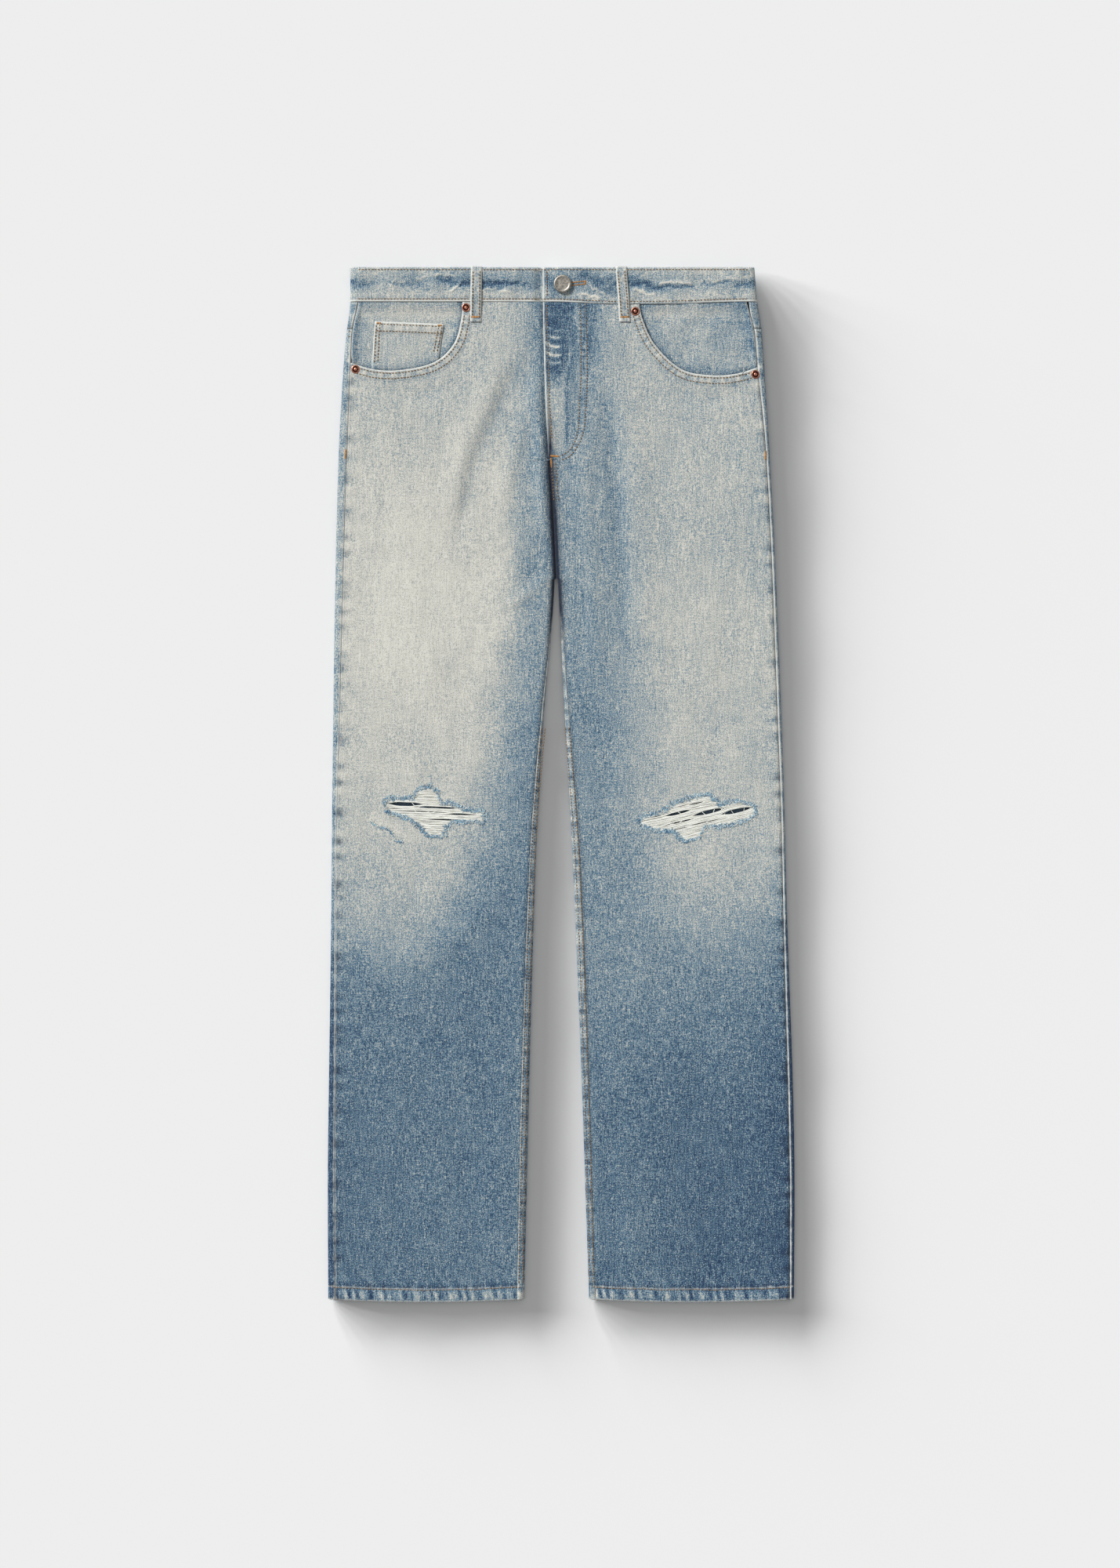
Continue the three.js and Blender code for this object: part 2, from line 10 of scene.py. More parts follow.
import bpy
import numpy as np
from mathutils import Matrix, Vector


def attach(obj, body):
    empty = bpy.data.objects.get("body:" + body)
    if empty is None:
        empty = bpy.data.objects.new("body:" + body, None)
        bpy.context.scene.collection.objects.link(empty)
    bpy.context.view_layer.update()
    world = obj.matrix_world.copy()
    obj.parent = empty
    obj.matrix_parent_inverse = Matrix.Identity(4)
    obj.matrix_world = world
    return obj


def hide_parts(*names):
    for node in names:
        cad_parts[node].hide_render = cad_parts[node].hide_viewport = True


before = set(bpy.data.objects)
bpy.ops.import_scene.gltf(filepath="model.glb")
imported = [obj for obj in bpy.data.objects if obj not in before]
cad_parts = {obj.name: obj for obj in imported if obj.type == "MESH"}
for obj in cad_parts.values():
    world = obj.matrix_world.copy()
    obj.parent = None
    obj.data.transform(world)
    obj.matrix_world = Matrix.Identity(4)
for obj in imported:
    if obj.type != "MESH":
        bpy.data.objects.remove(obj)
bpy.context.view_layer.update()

MM = 0.001
RIGHT = -1
LEFT = 1
WORDS = {RIGHT: "right", LEFT: "left"}

bl_info = {
    "name": "Ripped jeans, laid flat",
    "version": (1, 0, 0),
    "blender": (4, 5, 0),
    "location": "View3D > Sidebar > Jeans",
    "description": "Builds faded denim jeans with frayed knees, piece by piece",
    "category": "Object",
}


# ---- curves and soft steps -------------------------------------------------------------------

def curve(*knots):
    """A smooth function of y through [y, value] knots that are given from the waist down."""
    ys = np.array([knot[0] for knot in reversed(knots)], float)
    values = np.array([knot[1] for knot in reversed(knots)], float)
    last = len(ys) - 1
    before = np.maximum(np.arange(last + 1) - 1, 0)
    after = np.minimum(np.arange(last + 1) + 1, last)
    slopes = (values[after] - values[before]) / (ys[after] - ys[before])

    def at(y):
        y = np.clip(np.asarray(y, float), ys[0], ys[-1])
        i = np.clip(np.searchsorted(ys, y, side="right") - 1, 0, last - 1)
        span = ys[i + 1] - ys[i]
        t = (y - ys[i]) / span
        start = values[i] * (1 + 2 * t) * (1 - t) ** 2 + slopes[i] * span * t * (1 - t) ** 2
        end = values[i + 1] * t * t * (3 - 2 * t) + slopes[i + 1] * span * t * t * (t - 1)
        return start + end

    return at


def ramp(value, start, end):
    """A soft step from 0 at start to 1 at end."""
    t = np.clip((np.asarray(value, float) - start) / (end - start), 0, 1)
    return t * t * (3 - 2 * t)


def mix(a, b, share):
    return a + (b - a) * share


def hump(distance, width):
    return np.exp(-(distance / width) ** 2)


def ripple(x, y, size, seed, stretch=1.0):
    """Smooth unevenness between about -1 and 1, with bumps of a given size in mm."""
    chance = np.random.RandomState(seed)
    total = np.zeros(np.broadcast(x, y).shape)
    for _ in range(7):
        turn = chance.uniform(0, 2 * math.pi)
        pitch = 2 * math.pi / (size * chance.uniform(0.7, 1.9))
        along = x * math.cos(turn) + y * math.sin(turn) / stretch
        total = total + np.sin(along * pitch + chance.uniform(0, 2 * math.pi))
    return total / 3.2


def pucker(along, length, seed=0.0):
    """The uneven pull of a sewn seam: -1 in a dip and 1 on a crest."""
    wander = 1.7 * np.sin(along * 2 * math.pi / (length * 3.1) + seed)
    small = 0.4 * np.sin(along * 2 * math.pi / (length * 0.57) + 2 * seed)
    return 0.65 * np.sin(along * 2 * math.pi / length + wander + seed) + small


def smooth_line(points, step=3.0):
    """Points spaced by about a step on a smooth line through the given ones."""
    points = np.array(points, float)
    padded = np.vstack([2 * points[0] - points[1], points, 2 * points[-1] - points[-2]])
    out = []
    for i in range(1, len(padded) - 2):
        a, b, c, d = padded[i - 1:i + 3]
        count = max(1, int(np.linalg.norm(c - b) / step))
        for t in np.arange(count) / count:
            out.append(0.5 * (2 * b + (c - a) * t + (2 * a - 5 * b + 4 * c - d) * t ** 2
                              + (3 * b - a - 3 * c + d) * t ** 3))
    out.append(points[-1])
    return np.array(out)


def beside(x, y, line):
    """Distance from a line, positive on its left-hand side, and the length along it, both in mm."""
    shape = np.broadcast(x, y).shape
    best = np.full(shape, 1e9)
    signed = np.full(shape, 1e9)
    along = np.zeros(shape)
    done = 0.0
    for (ax, ay), (bx, by) in zip(line[:-1], line[1:]):
        dx, dy = bx - ax, by - ay
        length = math.hypot(dx, dy)
        t = np.clip(((x - ax) * dx + (y - ay) * dy) / length ** 2, 0, 1)
        gap = np.hypot(x - ax - t * dx, y - ay - t * dy)
        side = np.sign((y - ay) * dx - (x - ax) * dy)
        nearer = gap < best
        best = np.where(nearer, gap, best)
        signed = np.where(nearer, gap * np.where(side == 0, 1, side), signed)
        along = np.where(nearer, done + t * length, along)
        done += length
    return signed, along


def inside(x, y, outline):
    """Which points lie inside a closed outline."""
    found = np.zeros(np.broadcast(x, y).shape, bool)
    for (ax, ay), (bx, by) in zip(outline, np.roll(outline, -1, axis=0)):
        if ay == by:
            continue
        crosses = (ay > y) != (by > y)
        found ^= crosses & (x < (bx - ax) * (y - ay) / (by - ay) + ax)
    return found


def ragged(outline):
    """A closed outline of (x, y) points with small teeth, as torn cloth has."""
    closed = np.array([*outline, outline[0]], float)
    out = []
    for a, b in zip(closed[:-1], closed[1:]):
        count = max(1, int(math.dist(a, b) / 1.7))
        out.extend(a + (b - a) * k / count for k in range(count))
    chance = np.random.RandomState(TEETH_SEED)
    return np.array(out) + chance.uniform(-0.75, 0.75, (len(out), 2))


# ---- the garment's outline and sewing lines --------------------------------------------------

# Levels along y.
WAIST = 534
WAIST_SEAM = 498
HEM = -534
CROTCH = 213
FLY_FOOT = 336
YOKE_SIDE = 470
YOKE_CENTRE = 434
# The x of the seat's middle, the seat's height over the floor, and the sizes of the rounded folds.
CENTRE_BACK = -7
SEAT_LIFT = 1.5
ROLL_OUT = 9
ROLL_IN = 8.0
ROLL_UNDER = 4
# How far the waistband stands over the fronts, and the x where it passes from one to the other.
BAND_PROUD = 0.9
BAND_MIDDLE = -8
# Thickness in metres of the pieces that are thinner than the rest.
POCKET_WALL = 0.001
BACK_POCKET_WALL = 0.0011
# Corners of the coin pocket, clockwise from the upper one at the outseam.
COIN_CORNERS = np.array([(-192.4, 478.2), (-121.2, 475.4), (-128.5, 424), (-196, 424)])
# Half the width of a belt loop and the y of its ends.
LOOP_HALF = 5.8
LOOP_TOP = 534.6
LOOP_FOOT = 477.5
# Front belt loops: leg, and the x of the top and bottom of the middle line.
LOOPS = {"front_right": (RIGHT, -87.4, -88.2), "front_left": (LEFT, 61.9, 65.8)}
# Middles of the button and the rivets.
BUTTON = (1.3, 516.5)
RIVETS = {
    "rivet_right_inner": (RIGHT, -98.2, 492.2),
    "rivet_right_outer": (RIGHT, -212.2, 428.6),
    "rivet_left_inner": (LEFT, 76.4, 488.4),
    "rivet_left_outer": (LEFT, 200.4, 423.4),
}
# Lathed outlines, as radius and height from the middle of the foot.
BUTTON_PROFILE = [(0.05, 0), (3.6, 0), (3.6, 1.6), (7.6, 1.8), (8.9, 2.3), (9.2, 3.0), (9.0, 3.7),
                  (8.4, 4.2), (7.7, 4.35), (7.1, 4.2), (6.6, 3.85), (6.0, 3.75), (3.0, 3.85),
                  (1.2, 3.9), (0.05, 3.9)]
RIVET_PROFILE = [(0.05, 0), (4.3, 0), (4.5, 0.25), (4.4, 0.6), (3.9, 0.95), (3.3, 0.95), (2.9, 0.6),
                 (2.1, 0.55), (1.75, 1.25), (1.35, 1.75), (0.7, 1.95), (0.05, 2.0)]
# Flat width and length that each kind of piece is cut to.
CUTS = {
    "front": (245, 1040),
    "back": (275, 1010),
    "yoke": (240, 66),
    "waistband": (880, 38),
    "belt_loop": (12, 58),
    "pocket_facing": (138, 90),
    "coin_pocket": (73, 54),
    "back_pocket": (148, 166),
}
# Seeds of the random draws.
TEETH_SEED = 3
KNEES_SEED = 5
SEWING_SEED = 8

# The x of the folded sides of each leg, all the way down.
OUTER = {
    RIGHT: curve([534, -218], [498, -217.8], [469, -221.3], [430, -224.8], [350, -229.4], [211, -233.2],
                 [0, -236.3], [-145, -237.6], [-300, -239.8], [-400, -241], [-534, -240.6]),
    LEFT: curve([534, 199.4], [498, 202.6], [469, 207], [430, 209.8], [350, 214.7], [211, 221.9],
                [0, 229.8], [-145, 233.6], [-300, 239], [-400, 241], [-534, 240.4]),
}
INNER = {
    RIGHT: curve([336, -12.6], [275, -8.4], [213, -6.9], [146, -11.2], [81, -17.2], [-48, -24.9],
                 [-178, -29.5], [-340, -33.8], [-534, -38.2]),
    LEFT: curve([336, -12], [275, -7.8], [213, -3.6], [146, 0], [81, 3.2], [-48, 10.5],
                [-178, 16.2], [-340, 22.4], [-534, 28.8]),
}
# How far in from the folded sides the outseams and inseams run.
OUTSEAM = {
    RIGHT: curve([498, 8.2], [469, 5.6], [430, 7.5], [350, 9], [100, 7.4], [-80, 5], [-320, 7], [-534, 8]),
    LEFT: curve([498, 10.8], [469, 7.6], [430, 7], [350, 3.6], [100, 3.8], [-80, 3.4], [-320, 5],
                [-534, 4.2]),
}
INSEAM = {
    RIGHT: curve([213, 0.5], [120, 1.4], [0, 4.8], [-80, 6.4], [-320, 8], [-534, 7.4]),
    LEFT: curve([213, 0.5], [97, 4], [0, 6.5], [-80, 8], [-320, 8], [-534, 6.6]),
}
# The x of the fly's edge, of the seam below it, and the height of the upper cloth in each leg's middle.
fly_edge = curve([534, -18.8], [498, -18.8], [400, -16.4], [336, -12.6])
rise_seam = curve([336, -12.4], [275, -8.1], [235, -6.2], [213, -5.2])
crown = curve([534, 7.8], [498, 7.8], [336, 7.6], [213, 6.8], [60, 6.1], [-300, 5.6], [-534, 5.2])

# The mouths of the front pockets, from the waistband to the outseam.
MOUTH = {
    RIGHT: smooth_line([(-101.5, 505), (-103.2, 480), (-111, 454.6), (-131, 435.9), (-163.5, 428),
                        (-192, 428.2), (-219.5, 436)]),
    LEFT: smooth_line([(79, 505), (84.2, 480), (97.5, 453), (124.3, 428.6), (155, 422.4), (182, 424.2),
                       (206.5, 432)]),
}
# The two rows that hold the fly's inner edge.
J_STITCH = [
    smooth_line([(19.3, 497), (20.7, 439), (19.3, 400), (17, 364), (9.5, 346), (-1, 339)]),
    smooth_line([(25.3, 497), (26.7, 439), (25.7, 394), (22.3, 362), (11, 341), (-2.5, 334)]),
]
# The holes at the knees.
RIPS = {
    RIGHT: ragged([
        (-183, -17.6), (-169, -14.6), (-152, -15), (-148, -5), (-133, -2.8), (-126, -12), (-124, -20),
        (-108, -21.5), (-100, -27), (-81, -28), (-80.5, -38), (-100, -37), (-112, -37.5), (-121.5, -44),
        (-122, -52.5), (-136, -53), (-144, -43.5), (-160, -33.5), (-178.5, -28)]),
    LEFT: ragged([
        (81.6, -40.5), (83, -34), (108.5, -28), (117, -19.4), (136.5, -13.5), (151.5, -9.8), (163, -21.5),
        (183, -17.4), (199, -21.5), (199.8, -32), (179, -39.6), (148, -43.4), (142, -55.4), (127, -57.6),
        (116, -47), (98, -47)]),
}
# The small rubbed place below the right knee's hole.
PATCH = smooth_line([(-197, -38), (-190, -43), (-180, -45.5), (-173, -52), (-171, -58), (-163, -59)], 0.7)
# Soft folds in the upper cloth: line, half width and height, negative for a trough.
FOLDS = [
    ([(-27, 440), (-21, 340), (-16, 235)], 7, 2.0),
    ([(-42, 455), (-60, 400), (-77, 362), (-91, 328), (-99, 290), (-112, 235)], 8, -1.2),
    ([(-20, 440), (-35, 385), (-54, 325), (-68, 270)], 10, 0.9),
    ([(-62, 455), (-82, 395), (-106, 330), (-122, 240)], 14, 0.9),
    ([(42, 440), (52, 350), (60, 250), (64, 130)], 9, -0.9),
    ([(68, 440), (76, 340), (86, 220), (90, 90)], 15, 0.6),
    ([(22, 400), (26, 300), (33, 190), (38, 90)], 10, 0.8),
    ([(-150, 360), (-152, 200), (-148, 40)], 34, 0.7),
    ([(135, 360), (140, 200), (142, 30)], 34, 0.6),
    ([(-8, 222), (-35, 196), (-70, 180)], 6, 0.7),
    ([(-1, 224), (28, 204), (60, 196)], 6, 0.6),
    ([(-205, 415), (-150, 400), (-105, 420)], 8, -0.5),
    ([(195, 408), (150, 396), (105, 412)], 8, -0.5),
    ([(-60, -110), (-110, -160), (-190, -190)], 15, 0.6),
    ([(60, -120), (120, -150), (210, -185)], 15, 0.6),
    ([(-60, -330), (-62, -430), (-66, -520)], 16, 0.5),
    ([(62, -330), (70, -430), (74, -520)], 16, 0.5),
]
FOLD_LINES = [(smooth_line(points, 12.0), width, height) for points, width, height in FOLDS]
RIGHT_CREASE = FOLD_LINES[1][0]
LEFT_CREASE = FOLD_LINES[4][0]
# Creases of the waistband: line, half width and fade, negative where the dye stayed.
BAND_CREASES = [
    ([(-217, 518), (-196, 515)], 2.6, -0.26), ([(-182, 521), (-162, 515), (-148, 517)], 2, -0.14),
    ([(-126, 523), (-110, 518), (-91, 519)], 3.6, -0.3), ([(-104, 516), (-91, 515)], 1.8, -0.3),
    ([(-82, 519), (-66, 517), (-44, 518)], 1.9, -0.42), ([(-82, 514), (-60, 514)], 3.5, -0.16),
    ([(-44, 516), (-24, 513)], 2, -0.14), ([(22, 525), (40, 521), (62, 517)], 4.5, -0.2),
    ([(40, 512), (62, 507)], 4, -0.16), ([(69, 525), (80, 522)], 4, -0.2),
    ([(68, 518), (84, 517), (104, 513)], 2.6, -0.4), ([(98, 515), (134, 515)], 1.2, -0.34),
    ([(148, 517), (176, 518)], 1.3, -0.2), ([(180, 515), (201, 518)], 2.8, -0.28),
    ([(-14, 526), (-4, 505)], 4, -0.12), ([(-178, 512), (-171, 520)], 0.9, 0.34),
    ([(-113, 510), (-104, 519)], 0.9, 0.36), ([(-130, 527), (-112, 524)], 1.0, 0.2),
    ([(-64, 511), (-52, 508)], 1.0, 0.26), ([(-80, 510), (-70, 511)], 1.0, 0.22),
    ([(22, 508), (38, 503)], 1.1, 0.34), ([(28, 517), (46, 507)], 1.0, 0.3),
    ([(40, 525), (48, 517)], 1.0, 0.2),
    ([(76, 512), (94, 508)], 1.0, 0.24), ([(104, 519), (134, 519)], 1.0, 0.24),
    ([(-150, 522), (-128, 526)], 1.1, 0.16), ([(150, 521), (180, 522)], 1.0, 0.16),
]


def band_creases(x, y):
    """The waistband's creases as a change of fade, on lines that wander a little."""
    bent_x = x + 2.5 * ripple(x, y, 15, 91)
    bent_y = y + 1.3 * ripple(x, y, 12, 92) + 0.5 * ripple(x, y, 5, 93)
    total = np.zeros(np.broadcast(x, y).shape)
    for points, width, fade in BAND_CREASES:
        strength = 1.3 if fade > 0 else 1.1
        total = total + strength * fade * hump(beside(bent_x, bent_y, points)[0], width)
    return total


def waist_sag(x):
    """How far the waistband's seam hangs down left of the fly."""
    return -2.4 * ramp(x, -10, 60) * (1 - ramp(x, 90, 195))


def seat_seam(y):
    """The x of the seam down the middle of the seat."""
    return mix(rise_seam(y), CENTRE_BACK, ramp(y, CROTCH, 300))


def yoke_seam(x):
    """The y of the seam between back and yoke, lowest in the middle."""
    across = np.clip(np.abs(x - CENTRE_BACK) / 205, 0, 1)
    return mix(YOKE_CENTRE, YOKE_SIDE, across ** 1.15)


def underside(y):
    """Height of the lowest cloth over the floor. The seat lies on the back pockets and loops."""
    return SEAT_LIFT * ramp(y, 170, 240)


def fall(distance, roll):
    """How far a rounded fold has dropped: 1 at its edge and 0 past the roll."""
    t = np.clip(distance / roll, 0, 1)
    return 1 - np.sqrt(np.maximum(0, 1 - (1 - t) ** 2))


def fold_heights(x, y, scale):
    """The soft folds, which fade out towards both ends."""
    total = np.zeros(np.broadcast(x, y).shape)
    for line, width, height in FOLD_LINES:
        distance, along = beside(x, y, line)
        length = np.sum(np.hypot(*np.diff(line, axis=0).T))
        ends = ramp(along, 0, 0.3 * length) * ramp(along, length, 0.7 * length)
        total = total + 1.6 * scale * height * hump(distance, width) * ends
    return total


def from_inner(side, x, y):
    return np.where(y > CROTCH, np.abs(x - rise_seam(y)), np.abs(x - INNER[side](y)))


def past_outseam(side, x, y):
    """How far inside the outseam a point lies, negative between the seam and the folded side."""
    return np.abs(OUTER[side](y) - x) - OUTSEAM[side](y)


def past_inseam(side, x, y):
    """How far inside the inseam a point lies, negative between the seam and the folded side."""
    return np.abs(INNER[side](y) - x) - INSEAM[side](y)


def into_pocket(side, x, y):
    """Distance into the pocket from its mouth, negative on the front, and the length along the mouth."""
    distance, along = beside(x, y, MOUTH[side])
    return distance * side, along


def on_legs(y):
    """0 above the crotch and 1 on the legs."""
    return ramp(y, CROTCH, CROTCH - 40)


def outseam_pull(side, y):
    return pucker(y, 26, side)


def inseam_pull(side, y):
    return pucker(y, 17, 2 + side)


def hem_rope(side, x, y):
    """The slanting twist of a hem that was washed after it was sewn."""
    return pucker(x + 0.25 * y, 12.5, 0.4 + side)


def middle_height(y):
    """The height at which the upper cloth turns under at a folded side."""
    return mix(underside(y), crown(y), 0.45)


def relief(side, x, y, depth):
    """What the soft cloth adds to the smooth crown: folds, unevenness and the pull of its seams."""
    total = fold_heights(x, y, depth)
    total = total + 0.35 * ripple(x, y, 70, 3, 1.8) + 0.14 * ripple(x, y, 19, 4, 1.6)
    outseam = past_outseam(side, x, y)
    total = total + 0.5 * outseam_pull(side, y) * np.exp(-np.abs(outseam) / 5) - 0.5 * hump(outseam, 1.3)
    legs = on_legs(y)
    inseam = past_inseam(side, x, y)
    total = total + legs * 0.35 * inseam_pull(side, y) * np.exp(-np.abs(inseam) / 4)
    total = total + legs * 0.6 * ramp(inseam, 0.6, -0.8) - legs * 0.4 * hump(inseam - 0.8, 1.2)
    mouth, along = into_pocket(side, x, y)
    band = hump(mouth + 5.2, 3.4)
    total = total + 0.45 * band * pucker(along, 9.5, 1.0) + 0.35 * ramp(mouth, -12, -9)
    hem = hump(y - HEM - 7 + 3 * np.cos(x / 30), 6.5)
    total = total + hem * (0.7 + 0.4 * hem_rope(side, x, y))
    return total - 0.45 * hump(y - HEM - 13.5, 1.6)


def top(side, x, y, depth=1.0):
    """Height of the upper cloth of one leg."""
    height = crown(y) + 0.4 * ramp(y, 400, 440) * ramp(np.abs(x - CENTRE_BACK), 70, 110)
    height = height + relief(side, x, y, depth)
    middle = middle_height(y)
    roll = mix(8, 7 if side == RIGHT else 15, ramp(y, 40, 200))
    valley = 1 - ramp(y, CROTCH + 50, FLY_FOOT + 14)
    drop = fall(np.abs(OUTER[side](y) - x), ROLL_OUT) + valley * fall(from_inner(side, x, y), roll)
    return height - (height - middle) * np.minimum(1, drop)


def hem_bow(side, x, y):
    """How much higher a hem's corners lie than its middle."""
    share = (x - INNER[side](y)) / (OUTER[side](y) - INNER[side](y))
    return 3 * (2 * share - 1) ** 2 * ramp(-y, 420, 534)


def rows_of(*stretches):
    """Row positions down a panel, from (from, to, step) stretches in falling y."""
    rows = [np.arange(start, end, -step) for start, end, step in stretches]
    return np.append(np.concatenate(rows), stretches[-1][1]).astype(float)


# ---- wash ------------------------------------------------------------------------------------
# fade runs from 0, unwashed blue, to 1, bleached. worn is white abrasion and dark is shade and dye.

# The x where the blue of the inner thigh gives way to the pale front, and how soft that edge is.
EDGE = {
    RIGHT: curve([534, -34], [420, -38], [320, -47], [180, -50], [90, -62], [0, -68], [-90, -92],
                 [-170, -130]),
    LEFT: curve([534, 46], [400, 54], [280, 72], [100, 76], [0, 76], [-90, 95], [-150, 110]),
}
SOFTNESS = {
    RIGHT: curve([534, 24], [200, 26], [20, 46], [-120, 40]),
    LEFT: curve([534, 26], [400, 34], [280, 52], [20, 52], [-120, 46]),
}
# The fade on the two sides of that edge.
PALE = {
    RIGHT: curve([534, 0.75], [400, 0.79], [300, 0.86], [200, 0.91], [80, 0.87], [-60, 0.79], [-110, 0.73],
                 [-150, 0.65], [-200, 0.46], [-240, 0.38], [-534, 0.315]),
    LEFT: curve([534, 0.69], [400, 0.76], [260, 0.735], [160, 0.79], [20, 0.77], [-80, 0.76], [-120, 0.68],
                [-150, 0.58], [-200, 0.47], [-270, 0.35], [-350, 0.265], [-534, 0.215]),
}
BLUE = {
    RIGHT: curve([534, 0.6], [200, 0.58], [120, 0.55], [20, 0.45], [-60, 0.45], [-150, 0.385],
                 [-400, 0.34], [-534, 0.35]),
    LEFT: curve([534, 0.52], [400, 0.56], [180, 0.55], [60, 0.485], [-60, 0.51], [-200, 0.48], [-270, 0.38],
                [-350, 0.315], [-534, 0.33]),
}


def wash(side, x, y):
    """The overall fade of the upper cloth of one leg, with a little painted shade along two fold troughs.
    """
    edge = EDGE[side](y) + 5 * ripple(x, y, 60, 11)
    wide = SOFTNESS[side](y)
    pale = ramp((x - edge) * side, -wide, wide)
    fade = mix(BLUE[side](y), PALE[side](y), pale)
    fade = fade + 0.016 * ripple(x, y, 70, 12) + 0.012 * ripple(x, y, 16, 13, 5.0)
    outside = np.abs(OUTER[side](y) - x)
    rub = 0.05 * ramp(y, 430, 250) + (0.02 if side == RIGHT else 0.15) * ramp(y, -40, -130)
    # Bluer along the troughs of the thighs' folds: painted shade.
    if side == RIGHT:
        fade = fade - 0.04 * hump(beside(x, y, RIGHT_CREASE)[0], 12) * ramp(y, 450, 420)
    else:
        trough_shade = hump(beside(x, y, LEFT_CREASE)[0], 8)
        fade = fade - 0.05 * trough_shade * ramp(y, 450, 400) * ramp(y, 80, 150)
    return fade - rub * np.exp(-outside / 18)


def coats_of(fade, worn, dark):
    """The three coats of a cloth, one value of each at every point."""
    fade, worn, dark = np.broadcast_arrays(fade, worn, np.clip(dark, 0, 1))
    return {"fade": fade, "worn": worn, "dark": dark}


def rip_distance(side, x, y):
    """Distance from the edge of the knee's hole, worked out only near it."""
    outline = RIPS[side]
    closed = np.vstack([outline, outline[:1]])
    near = (np.abs(y + 30) < 36) & (np.abs(x - outline[:, 0].mean()) < 75)
    found = np.full(x.shape, 99.0)
    found[near] = np.abs(beside(x[near], y[near], closed)[0])
    return found


def front_coats(side, x, y):
    """The coats of a front, from its wash, seams, edges and folds, with painted shade in the folds and in
    the valley at the fly and the crotch.
    """
    lift = relief(side, x, y, 1.0)
    # Paler where the cloth is raised and bluer where it sinks: painted shade in the folds, partly the pale
    # crests of the puckered seams and the hem.
    fade = wash(side, x, y) + 0.028 * np.clip(lift, -2, 2)
    worn = np.zeros(x.shape)
    dark = np.zeros(x.shape)
    if side == RIGHT:
        # Painted shade in the trough of the right thigh's fold.
        trough_shade = hump(beside(x, y, RIGHT_CREASE)[0] - 3, 9)
        dark = dark + 0.13 * trough_shade * ramp(y, 250, 300) * ramp(y, 460, 420)
    seam = past_outseam(side, x, y)
    pull = outseam_pull(side, y)
    spots = mix(0.3, 0.65, ramp(y, 90, -60)) * np.clip(-pull, 0, 1)
    dark = dark + spots * np.exp(-np.abs(seam - 2.5) / 3.5) + 0.3 * hump(seam - 0.9, 0.9)
    worn = worn + 0.75 * hump(seam + 0.7, 1.0)
    fade = fade + 0.16 * pull * np.exp(-np.abs(seam) / 6)
    mouth, along = into_pocket(side, x, y)
    band = hump(mouth + 5.2, 4)
    fade = fade + band * (0.16 * pucker(along, 9.5, 1.0) - 0.02) - 0.08 * hump(mouth + 10, 2)
    worn = worn + 0.85 * hump(mouth, 1.4)
    low = y - hem_bow(side, x, y) - HEM
    rope = hem_rope(side, x, y)
    fade = fade + hump(low - 6, 5.5) * (0.14 + 0.4 * rope) - 0.12 * hump(low - 16.5, 2.2)
    streaks = pucker(x + 0.9 * y, 17, 2.0 + side)
    fade = fade + 0.14 * np.clip(streaks, -0.3, 1) * hump(low - 21, 8)
    dark = dark + 0.5 * hump(low - 15, 1.4) * np.clip(-rope + 0.4, 0, 1)
    worn = worn + 0.75 * hump(low, 1.5) + 0.6 * hump(low - 14.2, 0.9)
    inseam = past_inseam(side, x, y)
    legs = on_legs(y)
    low_leg = ramp(y, -200, -320)
    dark = dark + legs * (0.3 - 0.25 * low_leg) * hump(inseam - 1, 2)
    fade = fade + 0.08 * low_leg * hump(inseam - 2, 4)
    dip = from_inner(side, x, y)
    valley = (1 - ramp(y, FLY_FOOT - 20, FLY_FOOT + 70)) * ramp(y, CROTCH - 90, CROTCH)
    reach = 4.0 if side == RIGHT else 5.0
    # Painted shade: darkens the valley where the thighs roll over the fly and the rise seam.
    dark = dark + valley * 1.3 * np.exp(-(dip / reach) ** 1.4)
    # Painted shadow: a black line in the crevice between the legs just above the crotch.
    dark = dark + 1.5 * hump(dip, 2.0) * ramp(y, 300, 275) * ramp(y, 203, 212)
    rim = rip_distance(side, x, y)
    fade = fade - 0.2 * hump(rim, 2.2)
    if side == RIGHT:
        patch, _ = beside(x, y, PATCH)
        fade = fade + 0.12 * hump(patch - 4, 5) * hump(np.hypot(x + 182, y + 48), 24)
        middle = np.where(y > FLY_FOOT, fly_edge(y), rise_seam(y))
        fade = fade - 0.2 * ramp(y, 200, 260) * np.exp(-np.abs(x - middle) / 13)
    else:
        fade, worn, dark = fly_coats(x, y, fade, worn, dark)
    return coats_of(fade, worn, dark)


